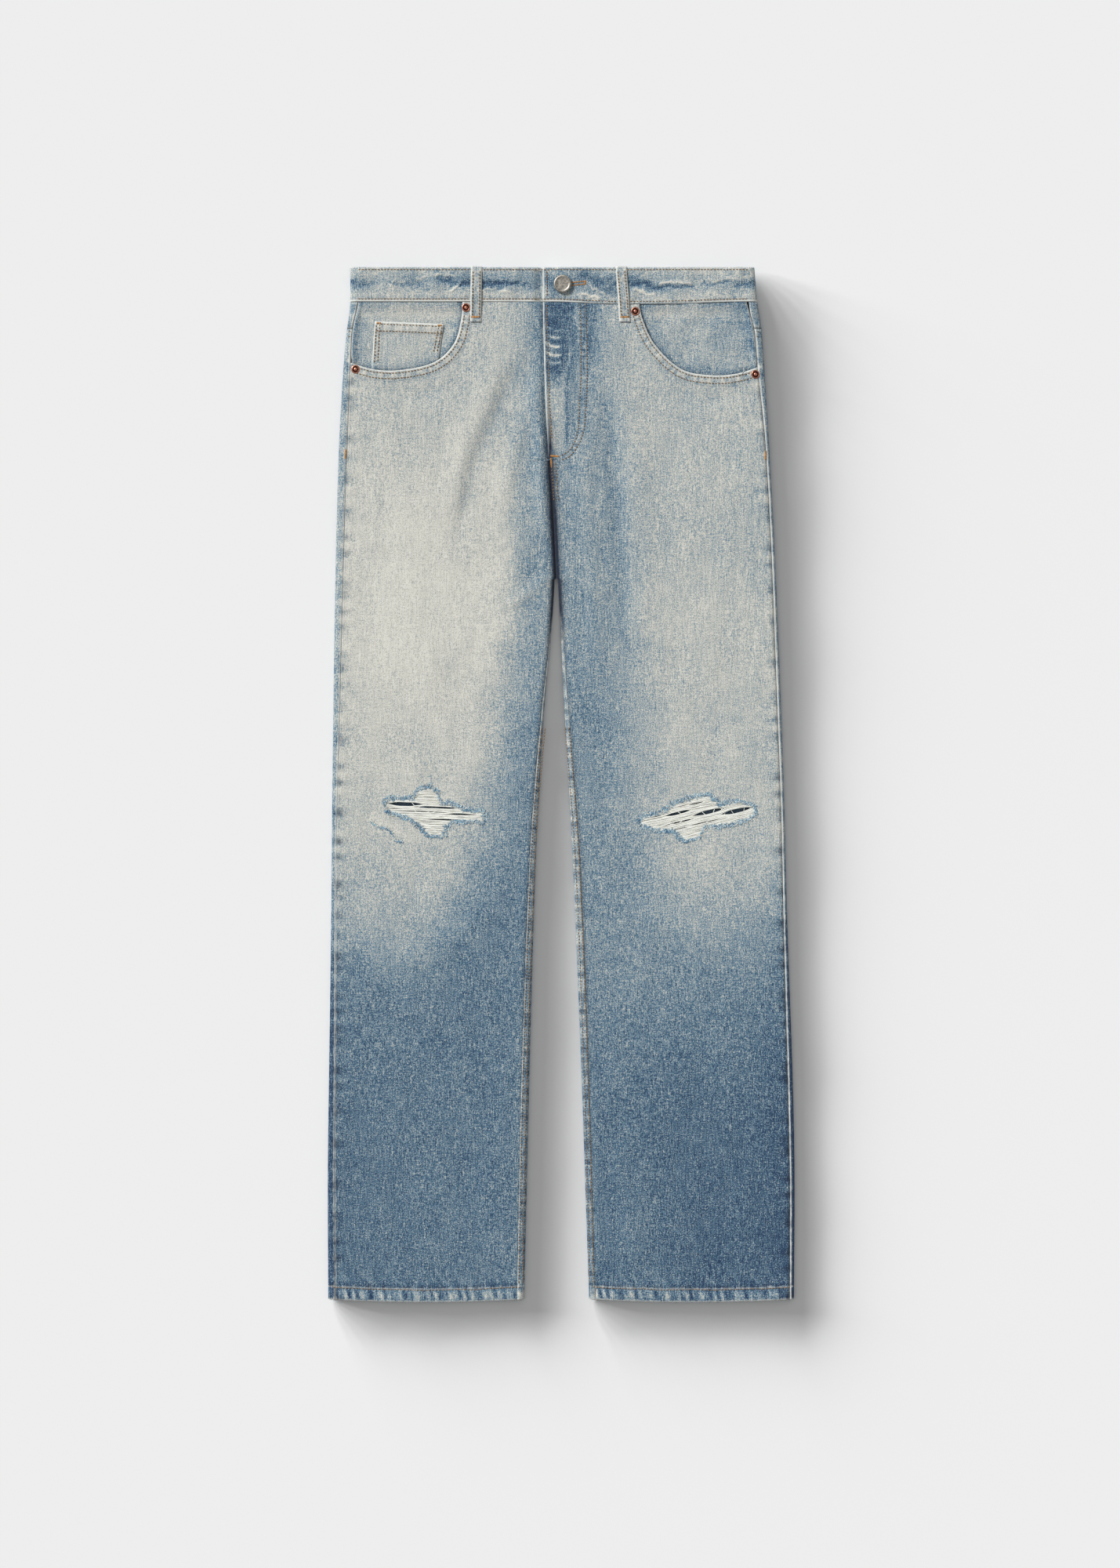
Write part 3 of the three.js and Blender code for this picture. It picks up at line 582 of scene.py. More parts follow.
def fly_coats(x, y, fade, worn, dark):
    """Adds the fly's whiskers, its dark folded upper part and its worn edge to the left front."""
    outer_row, along = beside(x, y, J_STITCH[1])
    shield = ramp(-outer_row, -2, 2) * ramp(y, FLY_FOOT - 8, FLY_FOOT + 12)
    flap = ramp(x, 8, 2) * ramp(y, 340, 350)
    base = 0.55 + 0.16 * flap * ramp(y, 436, 416) + 0.04 * ripple(x, y, 16, 21, 2.0)
    high = ramp(y, 400, 432)
    bound = 15 + 4 * ripple(x * 0, y, 30, 23)
    depth = 0.36 - 0.2 * ramp(y, 458, 428) * ramp(x, -1, 6) + 0.08 * ripple(x, y, 9, 25, 0.7)
    base = base - high * ramp(x, bound + 7, bound - 7) * depth
    whisker = 0 * x
    for low, size in ((484, 0.2), (469, 0.35), (461, 0.6), (452, 0.85), (443, 0.85), (435, 0.5)):
        whisker = whisker + size * hump(y - low - 0.03 * (x + 7) ** 2 + 0.12 * (x + 7), 1.7)
    base = base + whisker * ramp(x, -17.5, -13.5) * ramp(x, 2, -3)
    # A pale wavy line over the zip near the top: painted highlight on the zip's ridge.
    base = base + 0.3 * high * hump(x - 6 - 3.5 * np.sin((y - 430) / 13), 1.5) * ramp(y, 486, 470)
    base = base - 0.3 * hump(x - 5.6, 1.9) * ramp(y, 345, 360) * ramp(y, 440, 420)
    rows = hump(outer_row + 3, 3.6)
    base = base + rows * (0.19 * pucker(along, 11, 3.0) - 0.12 * ramp(y, 425, 455))
    fade = fade - 0.2 * ramp(y, 425, 455) * hump(x - 26, 12)
    fade = mix(fade, base, 0.92 * shield)
    edge = x - fly_edge(y)
    worn = worn + 0.85 * hump(edge - 0.4, 1.2) * ramp(y, 318, 345)
    dark = dark + 0.35 * hump(edge - 2.6, 0.8) * ramp(y, 340, 350) * ramp(y, 499, 490)
    return fade, worn, dark


def back_coats(side, x, y, above):
    """Washes of the cloth that wraps round from the underside; above is 1 where it faces up."""
    coats = front_coats(side, x, y)
    seat = 0.46 + 0.22 * hump(np.hypot((x - side * 100) / 1.2, (y - 330) / 2.4), 60)
    plain = seat + 0.1 * ripple(x, y, 80, 31) + 0.16 * hump(np.hypot(x - side * 130, (y + 60) / 2), 55)
    inseam = past_inseam(side, x, y)
    legs = on_legs(y)
    band = legs * ramp(inseam, 0.5, -0.5)
    pull = inseam_pull(side, y)
    strip = ramp(past_outseam(side, x, y), -0.5, -2.5)
    coats["fade"] = mix(plain, coats["fade"] + band * (0.1 + 0.16 * pull) - 0.2 * strip, above)
    coats["worn"] = above * (coats["worn"] + 0.5 * legs * hump(inseam + 0.6, 1.0))
    coats["dark"] = above * np.clip(coats["dark"] + 0.3 * band * np.clip(-pull, 0, 1), 0, 1)
    return coats


# ---- meshes ----------------------------------------------------------------------------------

def link(piece):
    bpy.context.scene.collection.objects.link(piece)
    return piece


def settle(piece, nodes=()):
    """Fixes a finished piece to the frame."""
    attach(piece, "root")
    if nodes:
        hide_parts(*nodes)
    return piece


def cloth(name, points, coats, materials, wall, flip, keep):
    """A shell of cloth below a grid of points in mm, with its outer, inner and edge materials.

    flip turns the faces over, so that the shell grows to the inside. keep says which faces stay.
    """
    rows, columns = points.shape[:2]
    index = np.arange(rows * columns).reshape(rows, columns)
    quads = np.stack([index[:-1, :-1], index[:-1, 1:], index[1:, 1:], index[1:, :-1]], -1)
    if flip:
        quads = quads[..., ::-1]
    if keep is not None:
        quads = quads[keep]
    used, faces = np.unique(quads.reshape(-1), return_inverse=True)
    mesh = bpy.data.meshes.new(name)
    mesh.from_pydata((points.reshape(-1, 3)[used] * MM).tolist(), [], faces.reshape(-1, 4).tolist())
    for label, values in coats.items():
        layer = mesh.attributes.new(label, "FLOAT", "POINT")
        layer.data.foreach_set("value", values.reshape(-1)[used].astype(np.float32))
    for material in materials:
        mesh.materials.append(material)
    piece = link(bpy.data.objects.new(name, mesh))
    shell = piece.modifiers.new("shell", "SOLIDIFY")
    shell.thickness = wall  # in metres
    shell.offset = -1
    shell.material_offset = 1
    shell.material_offset_rim = 2
    made = bpy.data.meshes.new_from_object(piece.evaluated_get(bpy.context.evaluated_depsgraph_get()))
    piece.modifiers.clear()
    piece.data = made
    made.shade_smooth()
    return piece


def area_of(points):
    """The area of a grid of points, in square metres."""
    across = points[:-1, 1:] - points[:-1, :-1]
    down = points[1:, :-1] - points[:-1, :-1]
    return float(np.linalg.norm(np.cross(across, down), axis=-1).sum()) * MM * MM


def sewn_piece(node, points, coats, colours, wall, cut, flip=False, keep=None):
    """A finished piece of cloth in place of a node. The cut is its flat width and length in mm."""
    piece = cloth(f"{node}_cloth", points, coats, skins(colours), wall, flip, keep)
    settle(piece, [node])
    width, length = cut[0] * MM, cut[1] * MM
    area = min(area_of(points), width * length)


def nearest_on(x, y, line):
    """The nearest points of a line."""
    best = np.full(x.shape, 1e9)
    found = np.stack([x, y], -1)
    for (ax, ay), (bx, by) in zip(line[:-1], line[1:]):
        dx, dy = bx - ax, by - ay
        t = np.clip(((x - ax) * dx + (y - ay) * dy) / (dx * dx + dy * dy), 0, 1)
        px, py = ax + t * dx, ay + t * dy
        gap = np.hypot(x - px, y - py)
        found = np.where((gap < best)[:, None], np.stack([px, py], -1), found)
        best = np.minimum(gap, best)
    return found


def cut_away(flat, keep, outline, edge):
    """Drops the faces of a grid inside an outline and draws the cut onto its edge line."""
    centre = (flat[:-1, :-1] + flat[1:, 1:] + flat[:-1, 1:] + flat[1:, :-1]) / 4
    gone = inside(centre[..., 0], centre[..., 1], outline)
    keep &= ~gone
    near_gone = np.zeros(flat.shape[:2], bool)
    near_kept = np.zeros(flat.shape[:2], bool)
    for down in (slice(None, -1), slice(1, None)):
        for over in (slice(None, -1), slice(1, None)):
            near_gone[down, over] |= gone
            near_kept[down, over] |= keep
    border = near_gone & near_kept
    flat[border] = nearest_on(flat[border][:, 0], flat[border][:, 1], edge)


class Bundle:
    """Gathers many threads or stitches into one mesh."""

    def __init__(self):
        self.points = []
        self.faces = []
        self.tints = []
        self.count = 0

    def add(self, points, faces, tint=0.5):
        self.points.append(points)
        self.faces.append(faces + self.count)
        self.tints.append(np.full(len(points), tint))
        self.count += len(points)

    def tube(self, path, radius, sides=5, tint=0.5):
        """A round thread along a path of points in mm, with a radius at each point."""
        path = np.asarray(path, float)
        steps = len(path)
        radius = np.broadcast_to(radius, steps)
        run = np.gradient(path, axis=0)
        run /= np.maximum(np.linalg.norm(run, axis=1, keepdims=True), 1e-9)
        guide = np.where(np.abs(run[:, 2:3]) > 0.9, [[1.0, 0.0, 0.0]], [[0.0, 0.0, 1.0]])
        over = np.cross(run, guide)
        over /= np.linalg.norm(over, axis=1, keepdims=True)
        up = np.cross(over, run)
        turn = np.arange(sides) * 2 * math.pi / sides
        ring = over[:, None] * np.cos(turn)[None, :, None] + up[:, None] * np.sin(turn)[None, :, None]
        points = (path[:, None] + ring * radius[:, None, None]).reshape(-1, 3)
        self.add(points, tube_faces(steps, sides), tint)

    def build(self, name, materials):
        mesh = bpy.data.meshes.new(name)
        faces = np.concatenate(self.faces)
        mesh.from_pydata((np.concatenate(self.points) * MM).tolist(), [], faces.tolist())
        layer = mesh.attributes.new("tint", "FLOAT", "POINT")
        layer.data.foreach_set("value", np.concatenate(self.tints).astype(np.float32))
        for material in materials:
            mesh.materials.append(material)
        mesh.shade_smooth()
        return link(bpy.data.objects.new(name, mesh))


@cache
def tube_faces(steps, sides):
    """Quads between the rings of a tube, whose ends stay open."""
    index = np.arange(steps * sides).reshape(steps, sides)
    beyond = np.roll(index, -1, axis=1)
    return np.stack([index[:-1], beyond[:-1], beyond[1:], index[1:]], -1).reshape(-1, 4)


def turned(name, profile, segments, place, materials, tilt=0.0, groove=()):
    """A lathed body from a profile of (radius, height) in mm, standing at a place in mm.

    The rings between the two profile points of the groove get the second material.
    """
    mesh = bpy.data.meshes.new(name)
    turn = np.arange(segments) * 2 * math.pi / segments
    points = [np.stack([r * np.cos(turn), r * np.sin(turn), np.full(segments, z)], -1) for r, z in profile]
    points = np.concatenate(points)
    faces = tube_faces(len(profile), segments).tolist()
    faces.append(list(range(segments))[::-1])
    faces.append(list(range(len(points) - segments, len(points))))
    lean = np.array([[math.cos(tilt), 0, math.sin(tilt)], [0, 1, 0], [-math.sin(tilt), 0, math.cos(tilt)]])
    points = points @ lean.T + np.array(place)
    mesh.from_pydata((points * MM).tolist(), [], faces)
    for material in materials:
        mesh.materials.append(material)
    for k in range(*groove) if groove else ():
        for polygon in mesh.polygons[k * segments:(k + 1) * segments]:
            polygon.material_index = 1
    mesh.shade_smooth()
    return link(bpy.data.objects.new(name, mesh))


# ---- materials -------------------------------------------------------------------------------

class Wire:
    """A value between two nodes. Arithmetic on it adds Math nodes."""

    def __init__(self, tree, socket):
        self.tree = tree
        self.socket = socket

    def node(self, kind, settings=None, values=None, output=0):
        """Adds a node, sets it up, joins or fills its inputs and gives one of its outputs."""
        made = self.tree.nodes.new(kind)
        for key, value in (settings or {}).items():
            if key == "stops":
                fill_ramp(made.color_ramp, value)
            else:
                setattr(made, key, value)
        for key, value in (values or {}).items():
            if isinstance(value, Wire):
                self.tree.links.new(value.socket, made.inputs[key])
            else:
                made.inputs[key].default_value = value
        return Wire(self.tree, made.outputs[output])

    def math(self, operation, *terms):
        return self.node("ShaderNodeMath", {"operation": operation}, dict(enumerate(terms)))

    def __add__(self, other):
        return self.math("ADD", self, other)

    def __radd__(self, other):
        return self.math("ADD", other, self)

    def __sub__(self, other):
        return self.math("SUBTRACT", self, other)

    def __rsub__(self, other):
        return self.math("SUBTRACT", other, self)

    def __mul__(self, other):
        return self.math("MULTIPLY", self, other)

    def __rmul__(self, other):
        return self.math("MULTIPLY", other, self)

    def sine(self):
        return self.math("SINE", self)

    def within(self, low, high):
        """The value brought from between two limits to between 0 and 1."""
        return self.node("ShaderNodeMapRange", None, {"Value": self, "From Min": low, "From Max": high})

    def part(self, axis):
        return self.node("ShaderNodeSeparateXYZ", None, {0: self}, axis)

    def scaled(self, x, y, z):
        return self.node("ShaderNodeVectorMath", {"operation": "MULTIPLY"}, {0: self, 1: (x, y, z)})

    def noise(self, scale, detail=2.0, rough=0.5):
        """Even noise about 0 at this point, between about -0.5 and 0.5."""
        values = {"Vector": self, "Scale": scale, "Detail": detail, "Roughness": rough}
        return self.node("ShaderNodeTexNoise", None, values, "Fac") - 0.5

    def coat(self, label):
        return self.node("ShaderNodeAttribute", {"attribute_name": label}, None, "Fac")

    def tinted(self, first, second):
        """A colour between two others, by this share."""
        values = {"Factor": self}
        mixed = self.node("ShaderNodeMix", {"data_type": "RGBA"}, values, 2).socket.node
        for slot, colour in ((6, first), (7, second)):
            if isinstance(colour, Wire):
                self.tree.links.new(colour.socket, mixed.inputs[slot])
            else:
                mixed.inputs[slot].default_value = (*colour, 1.0)
        return Wire(self.tree, mixed.outputs[2])


def fill_ramp(ramp_data, stops):
    while len(ramp_data.elements) < len(stops):
        ramp_data.elements.new(1.0)
    for element, (position, colour) in zip(ramp_data.elements, stops):
        element.position = position
        element.color = (*colour, 1.0)


def shade(red, green, blue):
    """A colour given as it looks on a screen, 0 to 255, in linear light."""
    values = []
    for level in (red, green, blue):
        part = level / 255
        values.append(part / 12.92 if part <= 0.04045 else ((part + 0.055) / 1.055) ** 2.4)
    return tuple(values)


def new_material(name, rough, metallic=0.0, sheen=0.0):
    """A new material: itself, its shader and the point on the surface."""
    old = bpy.data.materials.get(name)
    if old:
        bpy.data.materials.remove(old)
    material = bpy.data.materials.new(name)
    material.use_nodes = True
    tree = material.node_tree
    shader = tree.nodes["Principled BSDF"]
    shader.inputs["Roughness"].default_value = rough
    shader.inputs["Metallic"].default_value = metallic
    shader.inputs["Sheen Weight"].default_value = sheen
    place = Wire(tree, tree.nodes.new("ShaderNodeTexCoord").outputs["Object"])
    return material, shader, place


def colour_and_bump(shader, colour, height, strength, distance):
    """Joins a colour and a raised grain, with the depth of the grain in metres."""
    tree = colour.tree
    tree.links.new(colour.socket, shader.inputs["Base Color"])
    values = {"Height": height, "Strength": strength, "Distance": distance}
    bump = height.node("ShaderNodeBump", None, values)
    tree.links.new(bump.socket, shader.inputs["Normal"])


# Distance between two diagonal lines of the twill, in metres.
TWILL_PITCH = 0.00105


def weave(place):
    """The parts of a twill's grain: mottling, warp slubs, weft and the diagonal lines."""
    mottle = place.noise(210, 3.0, 0.65)
    warp = place.scaled(1, 0.07, 0.3).noise(1150, 2.0, 0.6)
    weft = place.scaled(0.1, 1, 0.3).noise(1300, 1.0, 0.5)
    lines = ((place.part("X") * 0.84 + place.part("Y") * 0.54) * (2 * math.pi / TWILL_PITCH)).sine()
    return mottle, warp, weft, lines


def denim(name, colours):
    """Washed twill whose fade, abrasion and shade come from the cloth's own coats."""
    material, shader, place = new_material(name, 0.92, sheen=0.12)
    mottle, warp, weft, lines = weave(place)
    cloud = place.noise(24, 2.0, 0.5)
    fleck = place.scaled(1, 0.85, 1).noise(960, 2.0, 0.85)
    slub = place.scaled(0.12, 1, 1).noise(250, 2.0, 0.5)
    grain = warp * 0.66 + weft * 0.3 + mottle * 0.03 + fleck * 1.75 + lines * 0.06 + slub * 0.09
    even = place.coat("fade") + cloud * 0.025
    fade = even + grain * (1.85 - even * 1.2)
    stops = [(0.0, colours.deep), (0.29, colours.blue), (0.5, colours.mid), (0.64, colours.light),
             (0.86, colours.pale), (1.0, colours.bleached)]
    washed = fade.node("ShaderNodeValToRGB", {"stops": stops}, {"Fac": fade})
    rubbed = (place.coat("worn") * 1.25 + mottle * 1.1 + warp * 0.7 - 0.12).within(0.1, 0.85)
    bare = rubbed.tinted(washed, colours.worn)
    shaded = (place.coat("dark") + mottle * 0.4).within(0.0, 0.98).tinted(bare, colours.shadow)
    height = warp * 0.5 + weft * 0.4 + lines * 0.22 + mottle * 0.5
    colour_and_bump(shader, shaded, height, 0.55, 0.0005)
    return material


def inner_cloth(name, light, dim):
    """The undyed inner face of twill, or its frayed edge. The inner face's colours are darker than bare
    cloth, as painted shade.
    """
    material, shader, place = new_material(name, 0.95, sheen=0.1)
    mottle, warp, weft, lines = weave(place)
    share = (mottle * 1.2 + warp * 0.8 + lines * 0.1 + 0.5).within(0.1, 0.9)
    colour_and_bump(shader, share.tinted(dim, light), warp + weft, 0.5, 0.0005)
    return material


def thread(name, light, dim):
    """Spun yarn that varies in tint from one piece to the next."""
    material, shader, place = new_material(name, 0.75, sheen=0.03)
    shader.inputs["Specular IOR Level"].default_value = 0.15
    fuzz = place.noise(2600, 2.0, 0.6)
    patch = place.noise(60, 2.0, 0.5)
    share = (place.coat("tint") + fuzz * 0.7 + patch * 0.8).within(0.0, 1.0)
    colour_and_bump(shader, share.tinted(dim, light), fuzz, 0.4, 0.0002)
    return material


def metal(name, light, dim, rough, scale):
    """Aged metal with stains whose size goes down as the scale goes up."""
    material, shader, place = new_material(name, rough, metallic=0.92)
    stain = place.noise(scale, 4.0, 0.65)
    fine = place.noise(scale * 5, 2.0, 0.5)
    share = (stain * 1.6 + fine * 0.8 + 0.5).within(0.15, 0.85)
    colour_and_bump(shader, share.tinted(dim, light), fine, 0.3, 0.0002)
    roughness = stain * 0.25 + rough
    roughness.tree.links.new(roughness.socket, shader.inputs["Roughness"])
    return material


# ---- settings --------------------------------------------------------------------------------

def size_setting(name, description, default):
    return bpy.props.FloatProperty(name=name, description=description, default=default,
                                   unit="LENGTH", subtype="DISTANCE", precision=5)


def colour_setting(name, description, default):
    return bpy.props.FloatVectorProperty(name=name, description=description, default=default,
                                         subtype="COLOR", size=3, min=0.0, max=1.0)


class JeansSizes(bpy.types.PropertyGroup):
    """Sizes that change the look of the sewing and the cloth."""

    denim_wall: size_setting("Denim", "Thickness of one layer of denim", 0.0012)
    band_wall: size_setting("Waistband", "Thickness of the doubled waistband", 0.002)
    stitch_pitch: size_setting("Stitch pitch", "Length of one stitch and the gap after it", 0.0033)
    stitch_width: size_setting("Stitch width", "Width of the sewing thread", 0.00105)
    weft_pitch: size_setting("Weft pitch", "Spacing of the bare threads in the rips", 0.00088)
    weft_width: size_setting("Weft width", "Width of one bare thread", 0.0008)
    fold_depth: bpy.props.FloatProperty(name="Fold depth", description="Strength of the soft folds",
                                        default=1.0, min=0.0, max=2.0, subtype="FACTOR")


class JeansColours(bpy.types.PropertyGroup):
    """Colours of the wash, the threads and the metal."""

    deep: colour_setting("Deep", "Denim that has hardly been washed", shade(24, 50, 84))
    blue: colour_setting("Blue", "Lower legs", shade(68, 102, 126))
    mid: colour_setting("Mid", "Inner thighs", shade(108, 140, 161))
    light: colour_setting("Light", "Edge of the bleached areas", shade(150, 164, 169))
    pale: colour_setting("Pale", "Bleached thighs and knees", shade(204, 202, 191))
    bleached: colour_setting("Bleached", "Lightest flecks of the thighs", shade(226, 225, 216))
    worn: colour_setting("Worn", "White abrasion along the edges", shade(226, 228, 222))
    # Shadow is painted shade as well as dye: the dark coat mixes it into the crevice and valley at the
    # crotch and fly, a fold trough and along the pocket mouths.
    shadow: colour_setting("Shadow", "Dye left in the creases", shade(24, 36, 56))
    # Inside is darker than bare undyed cloth: partly painted shade for the inner face seen through the
    # rips.
    inside: colour_setting("Inside", "Undyed inner face of the cloth", shade(120, 134, 148))
    fray: colour_setting("Fray", "Loose ends and cut edges", shade(206, 212, 214))
    weft: colour_setting("Weft", "Bare threads in the rips", shade(246, 247, 240))
    tan: colour_setting("Tan thread", "Most of the sewing", shade(150, 118, 84))
    orange: colour_setting("Orange thread", "Bar tacks and the buttonhole", shade(228, 164, 92))
    pewter: colour_setting("Pewter", "Waist button", shade(205, 200, 190))
    copper: colour_setting("Copper", "Rivets", shade(244, 176, 152))
    cut_warp: colour_setting("Cut warp", "Blue ends of cut threads", shade(184, 216, 230))
    cut_warp_deep: colour_setting("Deep cut warp", "Bluest of the cut ends", shade(62, 114, 152))
    tan_dim: colour_setting("Dim tan", "Washed-out sewing thread", shade(120, 104, 88))
    pewter_dim: colour_setting("Dim pewter", "Stains on the button", shade(120, 116, 108))
    copper_dim: colour_setting("Dim copper", "Stains on the rivets", shade(150, 84, 64))
    hollow: colour_setting("Hollow", "Grime in the rivets' rings", shade(84, 44, 34))
    hollow_dim: colour_setting("Deep hollow", "Darkest grime", shade(44, 22, 18))
    floor: colour_setting("Floor", "Plain surface that the jeans lie on", shade(238, 238, 238))


def skins(colours):
    """The outer, inner and edge materials of the denim pieces, made once."""
    names = ("denim", "denim_inside", "denim_edge")
    if names[0] not in bpy.data.materials:
        denim(names[0], colours)
        inner_cloth(names[1], colours.inside, colours.blue)
        inner_cloth(names[2], colours.fray, colours.light)
    return [bpy.data.materials[name] for name in names]


# ---- pieces ----------------------------------------------------------------------------------

# Rows of the legs, as (from, to, step): close together at the knees and the hems.
LEG_ROWS = ((6, -66, 1.5), (-66, -500, 4.2), (-500, HEM, 1.7))


def eased(count, share):
    """Positions from 0 to 1 that are closer together at both ends."""
    t = np.linspace(0, 1, count)
    return mix(t, 0.5 - 0.5 * np.cos(math.pi * t), share)


def front_points(side):
    """The (x, y) grid of a front, from its outseam to its inseam, the rise and the fly's edge."""
    rows = rows_of((WAIST_SEAM, 420, 1.3), (420, 205, 2.2), (205, 6, 3.8), *LEG_ROWS)
    outer = OUTER[side](rows) - side * OUTSEAM[side](rows)
    under_fly = 9.0 if side == RIGHT else 0.0
    legs = INNER[side](rows) + side * INSEAM[side](rows)
    upper = np.where(rows <= FLY_FOOT, rise_seam(rows), fly_edge(rows) + under_fly)
    inner = np.where(rows <= CROTCH, legs, upper)
    x = mix(inner[:, None], outer[:, None], eased(104, 0.35)[None, :])
    y = np.broadcast_to(rows[:, None], x.shape)
    y = y + hem_bow(side, x, y) + waist_sag(x) * ramp(y, 420, WAIST_SEAM)
    return np.stack([x, y], -1)


def build_front(side, sizes, colours):
    flat = front_points(side)
    keep = np.ones((flat.shape[0] - 1, flat.shape[1] - 1), bool)
    mouth = MOUTH[side]
    beyond = np.array([(side * 260, mouth[-1][1]), (side * 260, 520), (mouth[0][0], 520)])
    cut_away(flat, keep, np.vstack([mouth, beyond]), mouth)
    rip = RIPS[side]
    cut_away(flat, keep, rip, np.vstack([rip, rip[:1]]))
    x, y = flat[..., 0], flat[..., 1]
    z = top(side, x, y, sizes.fold_depth)
    if side == RIGHT:
        fly = fly_edge(y)
        z = z - 1.7 * ramp(x, fly - 4, fly - 0.5) * ramp(y, FLY_FOOT, FLY_FOOT + 8)
    word = WORDS[side]
    sewn_piece(f"front_{word}", np.dstack([x, y, z]), front_coats(side, x, y), colours,
               sizes.denim_wall, CUTS["front"], flip=side == LEFT, keep=keep)


def side_fold(side, y, edge_x, start, roll, top_height):
    """Columns from a seam on the upper cloth round a fold to the underside, for rows y."""
    turns = np.linspace(1, 0, 9)[None, :] * np.arccos(1 - np.minimum(1, start / roll))[:, None]
    x = edge_x[:, None] - side * roll * (1 - np.cos(turns))
    rows = np.broadcast_to(y[:, None], x.shape)
    over = np.stack([x, rows, top_height(x, rows)], -1)
    low = np.linspace(0, math.pi / 2, 7)[None, 1:]
    middle = over[:, -1, 2][:, None]
    x = edge_x[:, None] - side * ROLL_UNDER * (1 - np.cos(low))
    z = middle - (middle - underside(y)[:, None]) * np.sin(low)
    below = np.stack([x, np.broadcast_to(y[:, None], x.shape), z], -1)
    return np.concatenate([over, below], axis=1)


def under_points(side, rows, depth):
    """The cloth underneath: from the inseam or seat seam to the outseam on top."""
    height = partial(top, side, depth=depth)
    outer = side_fold(side, rows, OUTER[side](rows), OUTSEAM[side](rows), ROLL_OUT, height)
    start = np.maximum(INSEAM[side](rows), 0.3)
    inner = side_fold(-side, rows, INNER[side](rows), start, ROLL_IN, height)
    steps = np.arange(inner.shape[1])[None, :]
    seat_x = seat_seam(rows)[:, None] + side * 0.2 + side * steps * 1.2
    seat = np.stack(np.broadcast_arrays(seat_x, rows[:, None], underside(rows)[:, None]), -1)
    inner = mix(seat, inner, ramp(rows, 226, 214)[:, None, None])
    share = np.linspace(0, 1, 36)[1:-1][None, :, None]
    flat = mix(inner[:, -1:], outer[:, -1:], share)
    return np.concatenate([inner, flat, outer[:, ::-1]], axis=1)


def facing_up(points):
    """1 where an under piece lies on top of a fold, and 0 underneath."""
    middle = middle_height(points[..., 1])
    return ramp(points[..., 2], middle - 2.2, middle - 0.3)


def build_back(side, sizes, colours):
    rows = rows_of((YOKE_SIDE, 205, 3.0), (205, 6, 3.8), *LEG_ROWS)
    points = under_points(side, rows, sizes.fold_depth)
    x, y = points[..., 0], points[..., 1]
    y = y + hem_bow(side, x, y) + (yoke_seam(x) - YOKE_SIDE) * ramp(y, 375, YOKE_SIDE)
    points[..., 1] = y
    word = WORDS[side]
    sewn_piece(f"back_{word}", points, back_coats(side, x, y, facing_up(points)), colours,
               sizes.denim_wall, CUTS["back"], flip=side == RIGHT)


def build_yoke(side, sizes, colours):
    rows = np.linspace(WAIST_SEAM, YOKE_SIDE, 12)
    points = under_points(side, rows, sizes.fold_depth)
    down = (WAIST_SEAM - points[..., 1]) / (WAIST_SEAM - YOKE_SIDE)
    points[..., 1] += (yoke_seam(points[..., 0]) - YOKE_SIDE) * down
    coats = back_coats(side, points[..., 0], points[..., 1], facing_up(points))
    coats["dark"] = np.clip(coats["dark"] + 0.5 * hump(down - 1, 0.1), 0, 1)
    word = WORDS[side]
    sewn_piece(f"yoke_{word}", points, coats, colours, sizes.denim_wall, CUTS["yoke"],
               flip=side == RIGHT)


def band_top(x, y, depth=1.0):
    """Height of the waistband's upper face."""
    right = top(RIGHT, np.minimum(x, BAND_MIDDLE), y, depth)
    left = top(LEFT, np.maximum(x, BAND_MIDDLE), y, depth)
    height = np.where(x < BAND_MIDDLE, right, left) + BAND_PROUD
    height = height + 2.4 * band_creases(x, y) + 0.4 * ripple(x, y * 0.6, 22, 42)
    height = height - 0.8 * hump(y - WAIST - 0.6, 2.2)
    low = y - WAIST_SEAM - waist_sag(x)
    height = height - 0.5 * hump(low, 1.4) - 0.3 * hump(low - 3.2, 1.1)
    return height + 0.22 * pucker(x, 8.5) * hump(low - 5, 3)


def band_coats(x, y, above):
    """The coats of the waistband; above is 1 on its upper face and 0 behind."""
    low = y - WAIST_SEAM - waist_sag(x)
    edges = hump(low - 7, 6) + 0.6 * hump(WAIST - y - 4, 5)
    fade = 0.59 + 0.13 * edges + 0.04 * ripple(x, y, 34, 43) + 0.04 * ripple(x, y, 10, 44, 0.5)
    fade = fade - 0.1 * hump(x - 8, 26) + 0.07 * hump(x - 150, 60) + 0.06 * hump(x + 185, 50)
    fade = fade + band_creases(x, y)
    fade = fade + 0.1 * pucker(x, 8.5) * hump(low - 4, 4)
    worn = 1.6 * hump(low - 1.0, 1.5) + 0.5 * hump(WAIST - y, 1.2)
    worn = worn + 0.8 * hump(x + 18.6, 1.4) * (y > 499)
    return coats_of(mix(0.5, fade, above), worn * above, 0.34 * hump(low - 2.6, 0.8) * above)


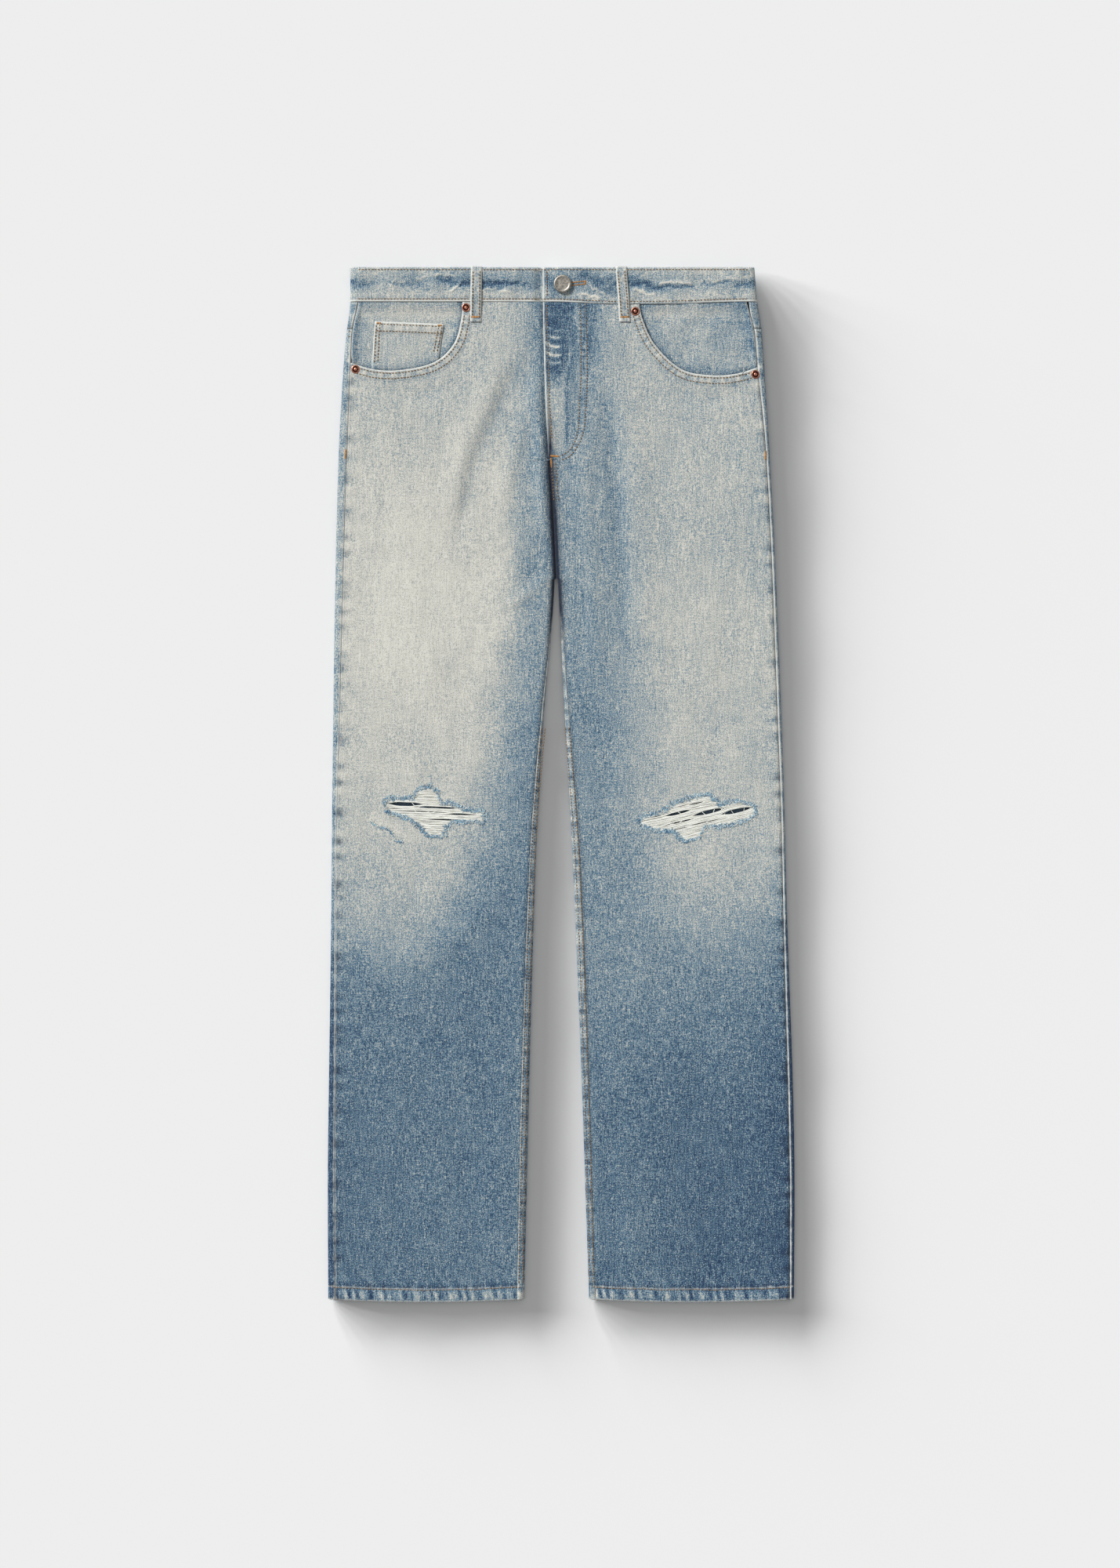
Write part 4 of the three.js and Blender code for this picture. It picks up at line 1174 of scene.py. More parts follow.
def build_waistband(sizes, colours):
    """One strip from its lower end under the button, round the back, to its upper end."""
    rows = np.concatenate([[498.3, 499.2, 500.1], np.arange(501, 532, 1.1), [532, 532.8, 533.4, 534]])
    height = partial(band_top, depth=sizes.fold_depth)

    def across(start, end):
        x = np.append(np.arange(start, end, -1.3), end)
        grid_x, grid_y = np.meshgrid(x, rows)
        return np.dstack([grid_x, grid_y, height(grid_x, grid_y)])

    def folded(side):
        start = np.full(len(rows), float(ROLL_OUT) - 0.01)
        return side_fold(side, rows, OUTER[side](rows), start, ROLL_OUT, height)

    under_end = across(22, -208.0)
    under_end[..., 2] -= 2.4 * ramp(under_end[..., 0], -30, -20)
    grid_x, grid_y = np.meshgrid(np.linspace(-210, 194, 60), rows)
    behind = np.dstack([grid_x, grid_y, np.full(grid_x.shape, SEAT_LIFT)])
    upper_end = across(190.0, -18.8)
    run = [under_end, folded(RIGHT), behind, folded(LEFT)[:, ::-1], upper_end]
    points = np.concatenate(run, axis=1)
    x, y = points[..., 0], points[..., 1]
    above = ramp(points[..., 2], 2.5, 4.5)
    coats = band_coats(x, y, above)
    points[..., 1] = y + waist_sag(x) * ramp(-y, -WAIST, -WAIST_SEAM) * above
    sewn_piece("waistband", points, coats, colours, sizes.band_wall, CUTS["waistband"],
               flip=True)


def loop_arch(down):
    """How a belt loop stands off the cloth, from 0 at its tacks to 1 between them."""
    return np.sin(np.clip((down - 0.06) / 0.82, 0, 1) * math.pi) ** 0.6


def build_front_loop(name, sizes, colours):
    side, start, end = LOOPS[name]
    down = np.linspace(0, 1, 34)[:, None]
    across = np.linspace(-1, 1, 13)[None, :]
    x = mix(start, end, down) + across * LOOP_HALF
    y = mix(LOOP_TOP, LOOP_FOOT, down) + 0 * across
    front = top(side, x, y)
    band = np.where(y > 497, band_top(x, np.minimum(y, WAIST)), front)
    base = mix(front, band, ramp(y, 494, 499))
    rails = hump(np.abs(across) - 0.62, 0.22)
    z = base + 1.35 + 0.9 * loop_arch(down) + 0.35 * rails - 0.7 * np.abs(across) ** 6
    tacks = hump(down - 0.045, 0.02) + hump(down - 0.9, 0.02)
    z = z - 0.45 * tacks + 0.12 * ripple(x, y, 7, 51)
    fade = 0.68 + 0.1 * rails + 0.08 * ripple(x, y, 9, 52)
    worn = 0.7 * ramp(np.abs(across), 0.6, 0.9) + 0.5 * ramp(down, 0.93, 1) + 0.5 * ramp(down, 0.03, 0)
    dark = 0.1 * hump(np.abs(across) - 0.42, 0.1) * ramp(down, 0.08, 0.2)
    sewn_piece(f"belt_loop_{name}", np.dstack([x, y, z]), coats_of(fade, worn, dark),
               colours, sizes.denim_wall, CUTS["belt_loop"], flip=True)


def build_back_loop(word, offset, sizes, colours):
    down = np.linspace(0, 1, 20)[:, None]
    across = np.linspace(-1, 1, 9)[None, :]
    x = CENTRE_BACK + offset + across * LOOP_HALF + 0 * down
    y = mix(WAIST, 478, down) + 0 * across
    z = 0.25 * np.abs(across) ** 4 + 0 * down
    coats = coats_of(0.55 + 0.1 * ripple(x, y, 9, 52), 0.6 * np.abs(across) ** 5, 0)
    sewn_piece(f"belt_loop_back_{word}", np.dstack([x, y, z]), coats, colours,
               sizes.denim_wall, CUTS["belt_loop"])


def build_facing(side, colours):
    """The cloth that shows in a front pocket's mouth, tucked under the front all round."""
    reach = -84 if side == RIGHT else 62
    rows = rows_of((WAIST_SEAM + 1, 412, 2.5))
    seam = OUTER[side](rows) - side * (OUTSEAM[side](rows) + 0.4)
    inner = mix(reach, mix(reach, seam, 0.45), ramp(rows, 452, 412))
    x = mix(inner[:, None], seam[:, None], np.linspace(0, 1, 56)[None, :])
    y = rows[:, None] + waist_sag(x) * ramp(rows[:, None], 420, WAIST_SEAM)
    puff = 0.25 * ripple(x, y, 26, 61)
    outseam = np.abs(x - seam[:, None])
    rise = np.maximum(ramp(y, 484, 497), ramp(outseam, 7, 1))
    z = top(side, x, y) - 2.5 + puff * (1 - rise) + 1.2 * rise
    mouth, _ = into_pocket(side, x, y)
    z = z + 0.9 * rise * ramp(mouth, 2, 9)
    shaded = np.clip(mouth, 0, None)
    fade = (0.75 if side == RIGHT else 0.69) + 0.03 * ripple(x, y, 30, 62) + 0.025 * ripple(x, y, 11, 63)
    # Bluer towards the mouth: partly unfaded dye under the front's edge, partly painted shade.
    fade = fade - 0.25 * np.exp(-shaded / 6)
    pull = (0.14 * pucker(y, 11, 4 + side) - 0.32 * ramp(y, 436, 452)) * np.exp(-outseam / 9)
    if side == LEFT:
        fade = fade - 0.06 * ramp(x, 135, 165) * ramp(y, 438, 460)
    fade = fade + pull + 0.1 * hump(y - 486, 5) - 0.08 * hump(y - 496, 3)
    # The dark coat along the mouth is painted shadow cast by the front's edge.
    coats = coats_of(fade, 0.6 * hump(outseam, 1.2), 0.5 * np.exp(-shaded / 1.6))
    word = WORDS[side]
    sewn_piece(f"pocket_facing_{word}", np.dstack([x, y, z]), coats, colours,
               POCKET_WALL, CUTS["pocket_facing"], flip=side == LEFT)


def build_coin_pocket(colours):
    down = eased(34, 0.2)[:, None]
    across = np.linspace(0, 1, 44)[None, :]
    left = mix(COIN_CORNERS[0], COIN_CORNERS[3], down[..., None])
    right = mix(COIN_CORNERS[1], COIN_CORNERS[2], down[..., None])
    flat = mix(left, right, across[..., None])
    x, y = flat[..., 0], flat[..., 1]
    from_top = down * 52
    hem = hump(from_top - 4.5, 5)
    sides = np.minimum(across, 1 - across) * 72
    z = top(RIGHT, x, y) - 1.42 + 0.3 * hem * (1 + 0.8 * pucker(x, 10, 0.3)) * ramp(y, 438, 446)
    z = z - 0.3 * hump(from_top, 1.2) - 0.25 * hump(sides, 1.2)
    fade = 0.77 + 0.03 * ripple(x, y, 24, 64) + hem * (0.05 + 0.12 * pucker(x, 10, 0.3))
    mouth, _ = into_pocket(RIGHT, x, y)
    shaded = np.clip(mouth, 0, None)
    # Bluer towards the mouth: partly unfaded dye under the front's edge, partly painted shade.
    fade = fade - 0.2 * np.exp(-shaded / 5) + 0.16 * pucker(y, 9, 2) * hump(sides - 4, 3)
    worn = 1.0 * hump(from_top, 1.5) + 0.85 * hump(sides, 1.3)
    # The dark coat along the mouth is painted shadow cast by the front's edge.
    dark = 0.6 * np.exp(-shaded / 1.8) + 0.22 * hump(from_top - 10.5, 1.3)
    sewn_piece("coin_pocket", np.dstack([x, y, z]), coats_of(fade, worn, dark), colours,
               POCKET_WALL, CUTS["coin_pocket"], flip=True)


def back_pocket_outline(side):
    """The five corners of a back pocket, from the upper one at the centre."""
    x = [CENTRE_BACK + side * (34 + 146 * share) for share in (0, 1, 0.93, 0.5, 0.07)]
    return np.array(list(zip(x, (406, 418, 274, 254, 266))), float)


def build_back_pocket(side, colours):
    corners = back_pocket_outline(side)
    share = np.linspace(0, 1, 30)[None, :, None]
    upper = mix(corners[0], corners[1], share)
    rising = mix(corners[3], corners[2], share * 2 - 1)
    lower = np.where(share < 0.5, mix(corners[4], corners[3], share * 2), rising)
    flat = mix(upper, lower, np.linspace(0, 1, 34)[:, None, None])
    x, y = flat[..., 0], flat[..., 1]
    gap, _ = beside(x, y, np.vstack([corners, corners[:1]]))
    gap = np.abs(gap)
    z = 0.25 * hump(gap, 1.5) + 0.05
    fade = 0.55 + 0.12 * ripple(x, y, 40, 71) + 0.1 * hump(gap - 5, 5)
    coats = coats_of(fade, 0.8 * hump(gap, 1.8), 0.2 * hump(gap - 9, 2))
    sewn_piece(f"back_pocket_{WORDS[side]}", np.dstack([x, y, z]), coats, colours,
               BACK_POCKET_WALL, CUTS["back_pocket"], flip=side == RIGHT)


# ---- knees: bare threads and frays -----------------------------------------------------------

# How the bare threads slope at each knee, in degrees, and how far they run in under the cloth.
WEFT_TURN = {RIGHT: -2, LEFT: 13}
WEFT_TUCK = 2.5
# Partings between the bare threads: middle, half length and half height.
SLITS = {
    RIGHT: [(-161, -19.8, 15, 2.4), (-128, -23.5, 22, 1.2), (-148, -27.5, 22, 0.9), (-103, -30.5, 14, 1.1),
            (-122, -36, 15, 0.9), (-136, -13, 9, 0.5)],
    LEFT: [(181, -27, 14, 2.7), (153, -28, 15, 2.5), (121, -29, 12, 1.9), (124, -38, 15, 1.0),
           (152, -38, 16, 0.7), (140, -19, 8, 0.9)],
}


def spans(outline, level):
    """Where a level line crosses a closed outline, as pairs of x."""
    xs = []
    for (ax, ay), (bx, by) in zip(outline, np.roll(outline, -1, axis=0)):
        if (ay > level) != (by > level):
            xs.append((bx - ax) * (level - ay) / (by - ay) + ax)
    xs.sort()
    return list(zip(xs[::2], xs[1::2]))


def turned_outline(outline, angle):
    """Points turned by an angle, so that a rip's threads run level."""
    cos, sin = math.cos(angle), math.sin(angle)
    return outline @ np.array([[cos, -sin], [sin, cos]])


def weft_threads(side, sizes, chance):
    """The cross threads of a rip in three loose layers, with slits where they have parted."""
    bundle = Bundle()
    angle = math.radians(WEFT_TURN[side])
    level = turned_outline(RIPS[side], angle)
    back_turn = turned_outline(np.eye(2), -angle)
    slits = np.array(SLITS[side], float)
    slits[:, :2] = turned_outline(slits[:, :2], angle)
    pitch = sizes.weft_pitch / MM
    width = sizes.weft_width / MM
    for layer in range(3):
        line = level[:, 1].min() + layer * pitch * 0.37
        while line < level[:, 1].max():
            for start, end in spans(level, line):
                length = end - start + 2 * WEFT_TUCK
                if length < 6:
                    continue
                if chance.uniform() < 0.14:
                    start += chance.uniform(0, 0.5) * length
                steps = max(6, int(length / 2.6))
                run = np.linspace(start - WEFT_TUCK, end + WEFT_TUCK, steps)
                sag = 0.5 * np.sin(np.linspace(0, math.pi, steps)) * chance.uniform(-1.2, 1.0)
                wave = 0.28 * np.sin(run / chance.uniform(3, 9) + chance.uniform(0, 6))
                across = line + sag + wave + 0.12 * chance.uniform(-1, 1, steps).cumsum() * 0.35
                for px, py, half, tall in slits:
                    away = (across - py) / tall
                    pull = np.exp(-((run - px) / half) ** 4) * np.exp(-away ** 2)
                    across = across + np.where(away >= 0, 1, -1) * tall * 0.8 * pull
                flat = np.stack([run, across], -1) @ back_turn
                x, y = flat[:, 0], flat[:, 1]
                ends = np.minimum(run - start + WEFT_TUCK, end + WEFT_TUCK - run)
                z = top(side, x, y) - 0.15 - 0.4 * layer - 0.8 * ramp(ends, 4, 0)
                z = z + 0.16 * np.sin(run / 2.3 + layer + line)
                radius = 0.5 * width * chance.uniform(0.7, 1.15)
                path = np.stack([x, y, z], -1)
                # Each deeper layer is a little darker: painted shade on the lower threads.
                bundle.tube(path, radius, 5, chance.uniform(0.6, 1.0) - 0.06 * layer)
            line += pitch * chance.uniform(0.75, 1.3)
    return bundle


def outline_starts(outline, step, chance):
    """Points along a closed outline, each with the direction that leads into the hole."""
    closed = np.vstack([outline, outline[:1]])
    for (ax, ay), (bx, by) in zip(closed[:-1], closed[1:]):
        length = math.hypot(bx - ax, by - ay)
        normal = np.array([ay - by, bx - ax]) / max(length, 1e-6)
        middle = np.array([(ax + bx) / 2, (ay + by) / 2]) + normal * 0.4
        if not inside(middle[:1], middle[1:], outline)[0]:
            normal = -normal
        for share in np.arange(chance.uniform(0, 1), length / step, 1.0):
            yield np.array([ax, ay]) + np.array([bx - ax, by - ay]) * share * step / length, normal


def fray_tufts(side, chance):
    """Short blue and white ends of cut threads round a rip."""
    blue, white = Bundle(), Bundle()
    for place, normal in outline_starts(RIPS[side], 0.3, chance):
        steep = abs(normal[1]) > 0.5
        clump = max(0.25, 0.9 + 0.9 * float(ripple(place[0], place[1], 15, 96 + side)))
        for bundle, odds, reach in ((blue, 1.0 if steep else 0.5, 3.4), (white, 0.34, 4.0)):
            if chance.uniform() > odds:
                continue
            length = max(0.9, reach * chance.uniform(0.35, 1.25) ** 1.3)
            lean = normal * 0.7 + chance.normal(0, 0.6, 2)
            lean = lean / np.hypot(*lean)
            bend = chance.normal(0, 0.5) * np.array([-lean[1], lean[0]])
            t = np.linspace(0, 1, 5)[:, None]
            root = place + normal * chance.uniform(-0.8 - 2.2 * clump, 1.0) - lean * 0.45 * length
            flat = root + lean * length * t + bend * length * 0.4 * t ** 2
            lift = 0.15 + chance.uniform(-0.1, 0.7) * np.sin(2.2 * t[:, 0])
            z = top(side, flat[:, 0], flat[:, 1]) + lift
            radius = np.array([0.3, 0.3, 0.26, 0.2, 0.06]) * chance.uniform(0.8, 1.35)
            bundle.tube(np.column_stack([flat, z]), radius, 4, chance.uniform(0.1, 0.9))
    return blue, white


def worn_patch(chance):
    """Loose blue and white threads on the small rubbed place below the right knee's hole."""
    blue, white = Bundle(), Bundle()
    for x, y in np.repeat(PATCH, 3, axis=0):
        bundle = blue if chance.uniform() < 0.6 else white
        t = np.linspace(0, 1, 5)
        length = chance.uniform(1.5, 4.0)
        px = x + length * (t - 0.5) * chance.uniform(-1.0, 1.0)
        py = y + chance.normal() * 0.7 + (1.2 if bundle is white else 0)
        py = py + length * (t - 0.5) * chance.normal(0, 0.6)
        z = top(RIGHT, px, py) + 0.15 + 0.25 * np.sin(t * math.pi)
        radius = np.array([0.1, 0.26, 0.3, 0.26, 0.06])
        bundle.tube(np.column_stack([px, py, z]), radius, 4, chance.uniform(0.1, 0.9))
    return blue, white


# ---- stitching -------------------------------------------------------------------------------

def stitch_form():
    """One stitch of length and width 1 along x, as rings of points and the faces between them."""
    sides = 6
    along = np.array([-0.5, -0.43, -0.25, 0, 0.25, 0.43, 0.5])
    radii = np.array([0.08, 0.62, 0.95, 1.0, 0.95, 0.62, 0.08]) / 2
    sink = np.array([-0.55, -0.28, 0.02, 0.1, 0.02, -0.28, -0.55])
    turn = np.arange(sides) * 2 * math.pi / sides
    rings = [np.stack([np.full(sides, a), r * np.cos(turn), r * np.sin(turn) + s], -1)
             for a, r, s in zip(along, radii, sink)]
    return np.concatenate(rings), tube_faces(len(along), sides)


STITCH = stitch_form()
# How much of its pitch a stitch covers, and how far stitches and bar tacks stand off the cloth.
STITCH_SHARE = 0.82
STITCH_LIFT = 0.12
TACK_LIFT = 0.35
TACK_WIDTH = 0.62


def put_stitch(bundle, start, end, width, up, tint):
    """A stitch from start to end, points in mm, standing out towards up, which is 1 or -1 along z."""
    run = end - start
    length = np.linalg.norm(run)
    run = run / length
    lift = np.array([0, 0, float(up)])
    over = np.cross(lift, run)
    over /= np.linalg.norm(over)
    lift = np.cross(run, over)
    shape = STITCH[0] * np.array([length, width, width])
    points = (start + end) / 2 + shape[:, :1] * run + shape[:, 1:2] * over + shape[:, 2:] * lift
    bundle.add(points, STITCH[1], tint)


def sew(bundle, line, height, sizes, chance, up=1):
    """A row of stitches along a line of (x, y) points on a surface."""
    pitch = sizes.stitch_pitch / MM
    width = sizes.stitch_width / MM
    lengths = np.append(0, np.cumsum(np.hypot(*np.diff(line, axis=0).T)))
    places = np.arange(chance.uniform(0, 0.5) * pitch, lengths[-1] - 0.8 * pitch, pitch)
    jitter = chance.normal(0, 0.05, (len(places), 2))
    ends = []
    for offset in (0.0, STITCH_SHARE * pitch):
        x = np.interp(places + offset, lengths, line[:, 0]) + jitter[:, 0]
        y = np.interp(places + offset, lengths, line[:, 1]) + jitter[:, 1]
        ends.append(np.column_stack([x, y, height(x, y) + up * STITCH_LIFT]))
    for start, end in zip(*ends):
        put_stitch(bundle, start, end, width, up, chance.uniform(0.15, 0.85))


def tack(bundle, start, end, reach, height, chance):
    """A bar tack from start to end: close cross stitches over a short bar, as wide as its reach."""
    start, end = np.array(start, float), np.array(end, float)
    run = end - start
    length = np.hypot(*run)
    run = run / length
    side_way = np.array([-run[1], run[0]])
    for share in np.arange(0.2, length, 0.55):
        middle = start + run * share
        lean = run * 0.18 * (-1) ** int(share / 0.55)
        a, b = middle - side_way * reach / 2 - lean, middle + side_way * reach / 2 + lean
        z = float(height(middle[:1], middle[1:])[0]) + TACK_LIFT
        tint = chance.uniform(0.2, 0.9)
        put_stitch(bundle, np.append(a, z), np.append(b, z), TACK_WIDTH, 1, tint)


def offset_line(line, gap):
    """A line moved to its right-hand side by a gap."""
    run = np.gradient(line, axis=0)
    run /= np.linalg.norm(run, axis=1, keepdims=True)
    return line + np.stack([run[:, 1], -run[:, 0]], -1) * gap


def straight(a, b):
    return np.linspace(a, b, max(2, int(math.dist(a, b) / 4)))


def down_leg(value, start, end):
    """A line whose x is a function of y, from a start down to an end."""
    y = np.arange(start, end, -4.0)
    return np.stack([value(y), y], -1)


def hem_line(side, inset, count):
    """The line of a hem's stitches, short of the folded sides by an inset."""
    x = np.linspace(INNER[side](HEM) + side * inset, OUTER[side](HEM) - side * inset, count)
    return np.stack([x, HEM + 12.6 + hem_bow(side, x, np.full(count, HEM))], -1)


def sew_front(side, sizes, chance):
    bundle = Bundle()
    cover = partial(top, side, depth=sizes.fold_depth)
    mouth = MOUTH[side][6:-3]
    for gap in (2.6, 8.2):
        sew(bundle, offset_line(mouth, gap * side), cover, sizes, chance)
    hem = hem_line(side, 3, 60)
    hem[:, 1] += 0.5 * ripple(hem[:, 0], np.zeros(60), 30, 81)
    sew(bundle, hem, cover, sizes, chance)
    for gap in (1.4, 5.2):
        line = down_leg(lambda y: INNER[side](y) + side * (INSEAM[side](y) - gap), 60, HEM + 16)
        sew(bundle, line, cover, sizes, chance)
    for low in (2.5, 7.5):
        y = YOKE_SIDE - low
        x = OUTER[side](np.array([y, y]))
        inset = np.array([OUTSEAM[side](y) - 0.6, 1.6])
        sew(bundle, np.stack([x - side * inset, [y, y]], -1), cover, sizes, chance)
    if side == LEFT:
        for row in J_STITCH:
            sew(bundle, row, cover, sizes, chance)
        sew(bundle, down_leg(lambda y: fly_edge(y) + 4.2, 496, 352), cover, sizes, chance)
    else:
        left_cover = partial(top, LEFT, depth=sizes.fold_depth)
        for gap in (1.9, 6.4):
            sew(bundle, down_leg(lambda y: rise_seam(y) + gap, 333, 292), left_cover, sizes, chance)
    return bundle


def coin_height(x, y, depth):
    """Height of the coin pocket's face."""
    return top(RIGHT, x, y, depth) - 1.3


def loop_height(name, x, y):
    """Height of a front belt loop's face on its own middle lines."""
    down = (LOOP_TOP - y) / (LOOP_TOP - LOOP_FOOT)
    base = mix(top(LOOPS[name][0], x, y), band_top(x, np.minimum(y, WAIST)), ramp(y, 494, 499))
    return base + 1.75 + 0.9 * loop_arch(down)


def seat_height(x, y):
    """Height of the stitches of the seat and the back hems, which face down."""
    return underside(y) + 0.45


def pocket_height(x, y):
    """Height of the back pockets' stitches, clear of the floor."""
    return 0 * x + 0.45


def sew_waistband(sizes, chance):
    """The waistband's rows, and those of the belt loops and the coin pocket."""
    bundle = Bundle()
    cover = partial(band_top, depth=sizes.fold_depth)
    x = np.arange(-211, 196, 4.0)
    for level, sag in ((WAIST_SEAM + 3.0, 1), (WAIST - 2.6, 0)):
        sew(bundle, np.stack([x, level + sag * waist_sag(x)], -1), cover, sizes, chance)
    sew(bundle, straight((-14.9, WAIST - 3), (-14.3, WAIST_SEAM + 4)), cover, sizes, chance)
    for name, (_, start, end) in LOOPS.items():
        for gap in (-3.6, 3.6):
            line = straight((start + gap, 531), (end + gap, 481))
            sew(bundle, line, partial(loop_height, name), sizes, chance)
    coin = partial(coin_height, depth=sizes.fold_depth)
    left, right = COIN_CORNERS[:2]
    for gap in (1.6, 5.2):
        sew(bundle, straight((left[0] + gap, 476), (-194.6 + gap, 434)), coin, sizes, chance)
        sew(bundle, straight((right[0] - gap, 473), (-127 - gap, 444)), coin, sizes, chance)
    for low in (2.6, 9.6):
        sew(bundle, straight((-191.5, left[1] - low), (-122, right[1] - low)), coin, sizes, chance)
    return bundle


def sew_underneath(sizes, chance):
    bundle = Bundle()
    for side in (RIGHT, LEFT):
        corners = back_pocket_outline(side)
        centre = corners.mean(axis=0)
        for inset in (0.962, 0.90):
            ring = centre + (corners - centre) * inset
            line = np.concatenate([straight(ring[k], ring[k + 1]) for k in range(1, 4)]
                                  + [straight(ring[4], ring[0])])
            sew(bundle, line, pocket_height, sizes, chance, up=-1)
        across = np.linspace(CENTRE_BACK + side * 4, OUTER[side](460) - side * 8, 40)
        for low in (-2.0, -7.0):
            line = np.stack([across, yoke_seam(across) + low], -1)
            sew(bundle, line, seat_height, sizes, chance, up=-1)
        sew(bundle, hem_line(side, 6, 50), seat_height, sizes, chance, up=-1)
    for gap in (2.0, 7.0):
        line = down_leg(lambda y: seat_seam(y) + gap, 428, 236)
        sew(bundle, line, seat_height, sizes, chance, up=-1)
    return bundle


def tacks(sizes, chance):
    """The bar tacks, each from one point to another with its reach, and the buttonhole."""
    bundle = Bundle()
    left = partial(top, LEFT, depth=sizes.fold_depth)
    right = partial(top, RIGHT, depth=sizes.fold_depth)
    coin = partial(coin_height, depth=sizes.fold_depth)
    cover = partial(band_top, depth=sizes.fold_depth)
    for name, (_, _, end) in LOOPS.items():
        face = partial(loop_height, name)
        tack(bundle, (end - 4.6, 482.4), (end + 4.6, 482.4), 2.4, lambda x, y: face(x, y) - 0.7, chance)
    for start, end, reach, height in (
            ((-11, 339.4), (-2.4, 338.8), 2.2, left),
            ((-10.6, 337), (-9.9, 328), 1.9, left),
            ((-222.8, 336.5), (-222.2, 345.5), 2.0, right),
            ((210.6, 335.5), (211, 344.5), 2.0, left),
            ((-190.4, 476.6), (-186, 476.4), 1.8, coin),
            ((-127.4, 474.2), (-123, 474), 1.8, coin),
            ((10.8, 515), (24.2, 516.4), 1.3, cover),
            ((10.8, 518), (24.2, 519.4), 1.3, cover),
            ((24.6, 515.9), (25, 520.1), 1.9, cover)):
        tack(bundle, start, end, reach, height, chance)
    return bundle


def hem_fray(chance):
    """Short white ends along the worn bottom folds of the hems, and a loose thread at the left pocket."""
    bundle = Bundle()
    for side in (RIGHT, LEFT):
        span = abs(OUTER[side](HEM) - INNER[side](HEM))
        for _ in range(300):
            share = chance.uniform(0.01, 0.99)
            x = INNER[side](HEM) + side * share * span
            y = HEM + 3 * (2 * share - 1) ** 2
            t = np.linspace(0, 1, 4)
            length = chance.uniform(0.8, 2.4)
            px = x + length * t * chance.normal(0, 0.8)
            py = y + 0.8 - length * t
            z = chance.uniform(0.8, 4.6) + 0.4 * t * chance.normal()
            radius = np.array([0.2, 0.18, 0.14, 0.03])
            bundle.tube(np.column_stack([px, py, z]), radius, 4, chance.uniform(0, 1))
    t = np.linspace(0, 1, 14)
    x = 181.5 + 7 * np.sin(3.1 * t)
    y = 428 + 5 * np.sin(5 * t + 0.4)
    bundle.tube(np.column_stack([x, y, top(LEFT, x, y) + 0.4]), 0.22, 5, 0.8)
    return bundle


# ---- stage -----------------------------------------------------------------------------------

# Camera: height over the floor, the length that its frame covers there, and its sensor.
VIEW_HEIGHT = 5.0
VIEW_SPAN = 1.62
SENSOR = 36
KEY_LIGHT = (-0.62, 0.55, 0.66)
# The low lights that draw the soft shadow: turns about a middle direction, in degrees, and rise.
SHADOW_WAY = 137.8
SHADOW_TURNS = (-24, -12, 0, 12, 24)
SHADOW_RISE = 0.082


def room_light(scene, strength, seen):
    """Even light from all round, with a pale backdrop where the room itself is seen."""
    world = bpy.data.worlds.new("room")
    scene.world = world
    world.use_nodes = True
    tree = world.node_tree
    ray = Wire(tree, tree.nodes.new("ShaderNodeLightPath").outputs["Is Camera Ray"])
    level = ray * (seen - strength) + strength
    tree.links.new(level.socket, tree.nodes["Background"].inputs["Strength"])
    tree.nodes["Background"].inputs["Color"].default_value = (1, 1, 1, 1)


def beam(name, place, spread, strength, floor, floor_state):
    """A soft distant light from a direction, spread in degrees.

    It lights only the floor where floor_state is INCLUDE, and all but the floor where it is EXCLUDE.
    """
    light = bpy.data.lights.new(name, "SUN")
    light.angle = math.radians(spread)
    light.energy = strength
    lamp = link(bpy.data.objects.new(name, light))
    lamp.location = place
    lamp.rotation_mode = "QUATERNION"
    lamp.rotation_quaternion = (-Vector(place)).to_track_quat("-Z", "Y")
    lit = bpy.data.collections.new(f"{name}_lit")
    lit.objects.link(floor)
    lit.collection_objects[0].light_linking.link_state = floor_state
    lamp.light_linking.receiver_collection = lit


# ---- operators -------------------------------------------------------------------------------

def settings_of(context):
    """The sizes and the colours that the sidebar shows."""
    return context.scene.jeans_sizes, context.scene.jeans_colours


class BuildStage(bpy.types.Operator):
    """Adds the camera, the plain floor and the soft lights"""

    bl_idname = "jeans.stage"
    bl_label = "Stage"

    def execute(self, context):
        scene = context.scene
        colours = scene.jeans_colours
        lens = bpy.data.cameras.new("camera")
        lens.sensor_fit = "AUTO"
        lens.sensor_width = SENSOR
        lens.lens = SENSOR * VIEW_HEIGHT / VIEW_SPAN
        lens.clip_end = 60
        camera = link(bpy.data.objects.new("camera", lens))
        camera.location = (-0.0012, 0.0008, VIEW_HEIGHT)
        scene.camera = camera
        mesh = bpy.data.meshes.new("floor")
        corners = [(-14, -14, 0), (14, -14, 0), (14, 14, 0), (-14, 14, 0)]
        mesh.from_pydata(corners, [], [(0, 1, 2, 3)])
        floor = link(bpy.data.objects.new("floor", mesh))
        floor.location.z = -0.0004
        material, shader, _ = new_material("floor", 0.95)
        shader.inputs["Base Color"].default_value = (*colours.floor, 1)
        shader.inputs["Specular IOR Level"].default_value = 0.0
        mesh.materials.append(material)
        room_light(scene, strength=0.355, seen=0.85)
        beam("key", KEY_LIGHT, spread=20, strength=3.1, floor=floor, floor_state="EXCLUDE")
        for turn in SHADOW_TURNS:
            way = math.radians(SHADOW_WAY + turn)
            place = (math.cos(way), math.sin(way), SHADOW_RISE)
            name = f"low_{turn - SHADOW_TURNS[0]}"
            beam(name, place, spread=8.0, strength=4.94, floor=floor, floor_state="INCLUDE")
        scene.view_settings.view_transform = "Standard"
        return {"FINISHED"}


class BuildFronts(bpy.types.Operator):
    """Builds both fronts, with their pocket mouths and the holes at the knees"""

    bl_idname = "jeans.fronts"
    bl_label = "Fronts"

    def execute(self, context):
        sizes, colours = settings_of(context)
        for side in (RIGHT, LEFT):
            build_front(side, sizes, colours)
        return {"FINISHED"}


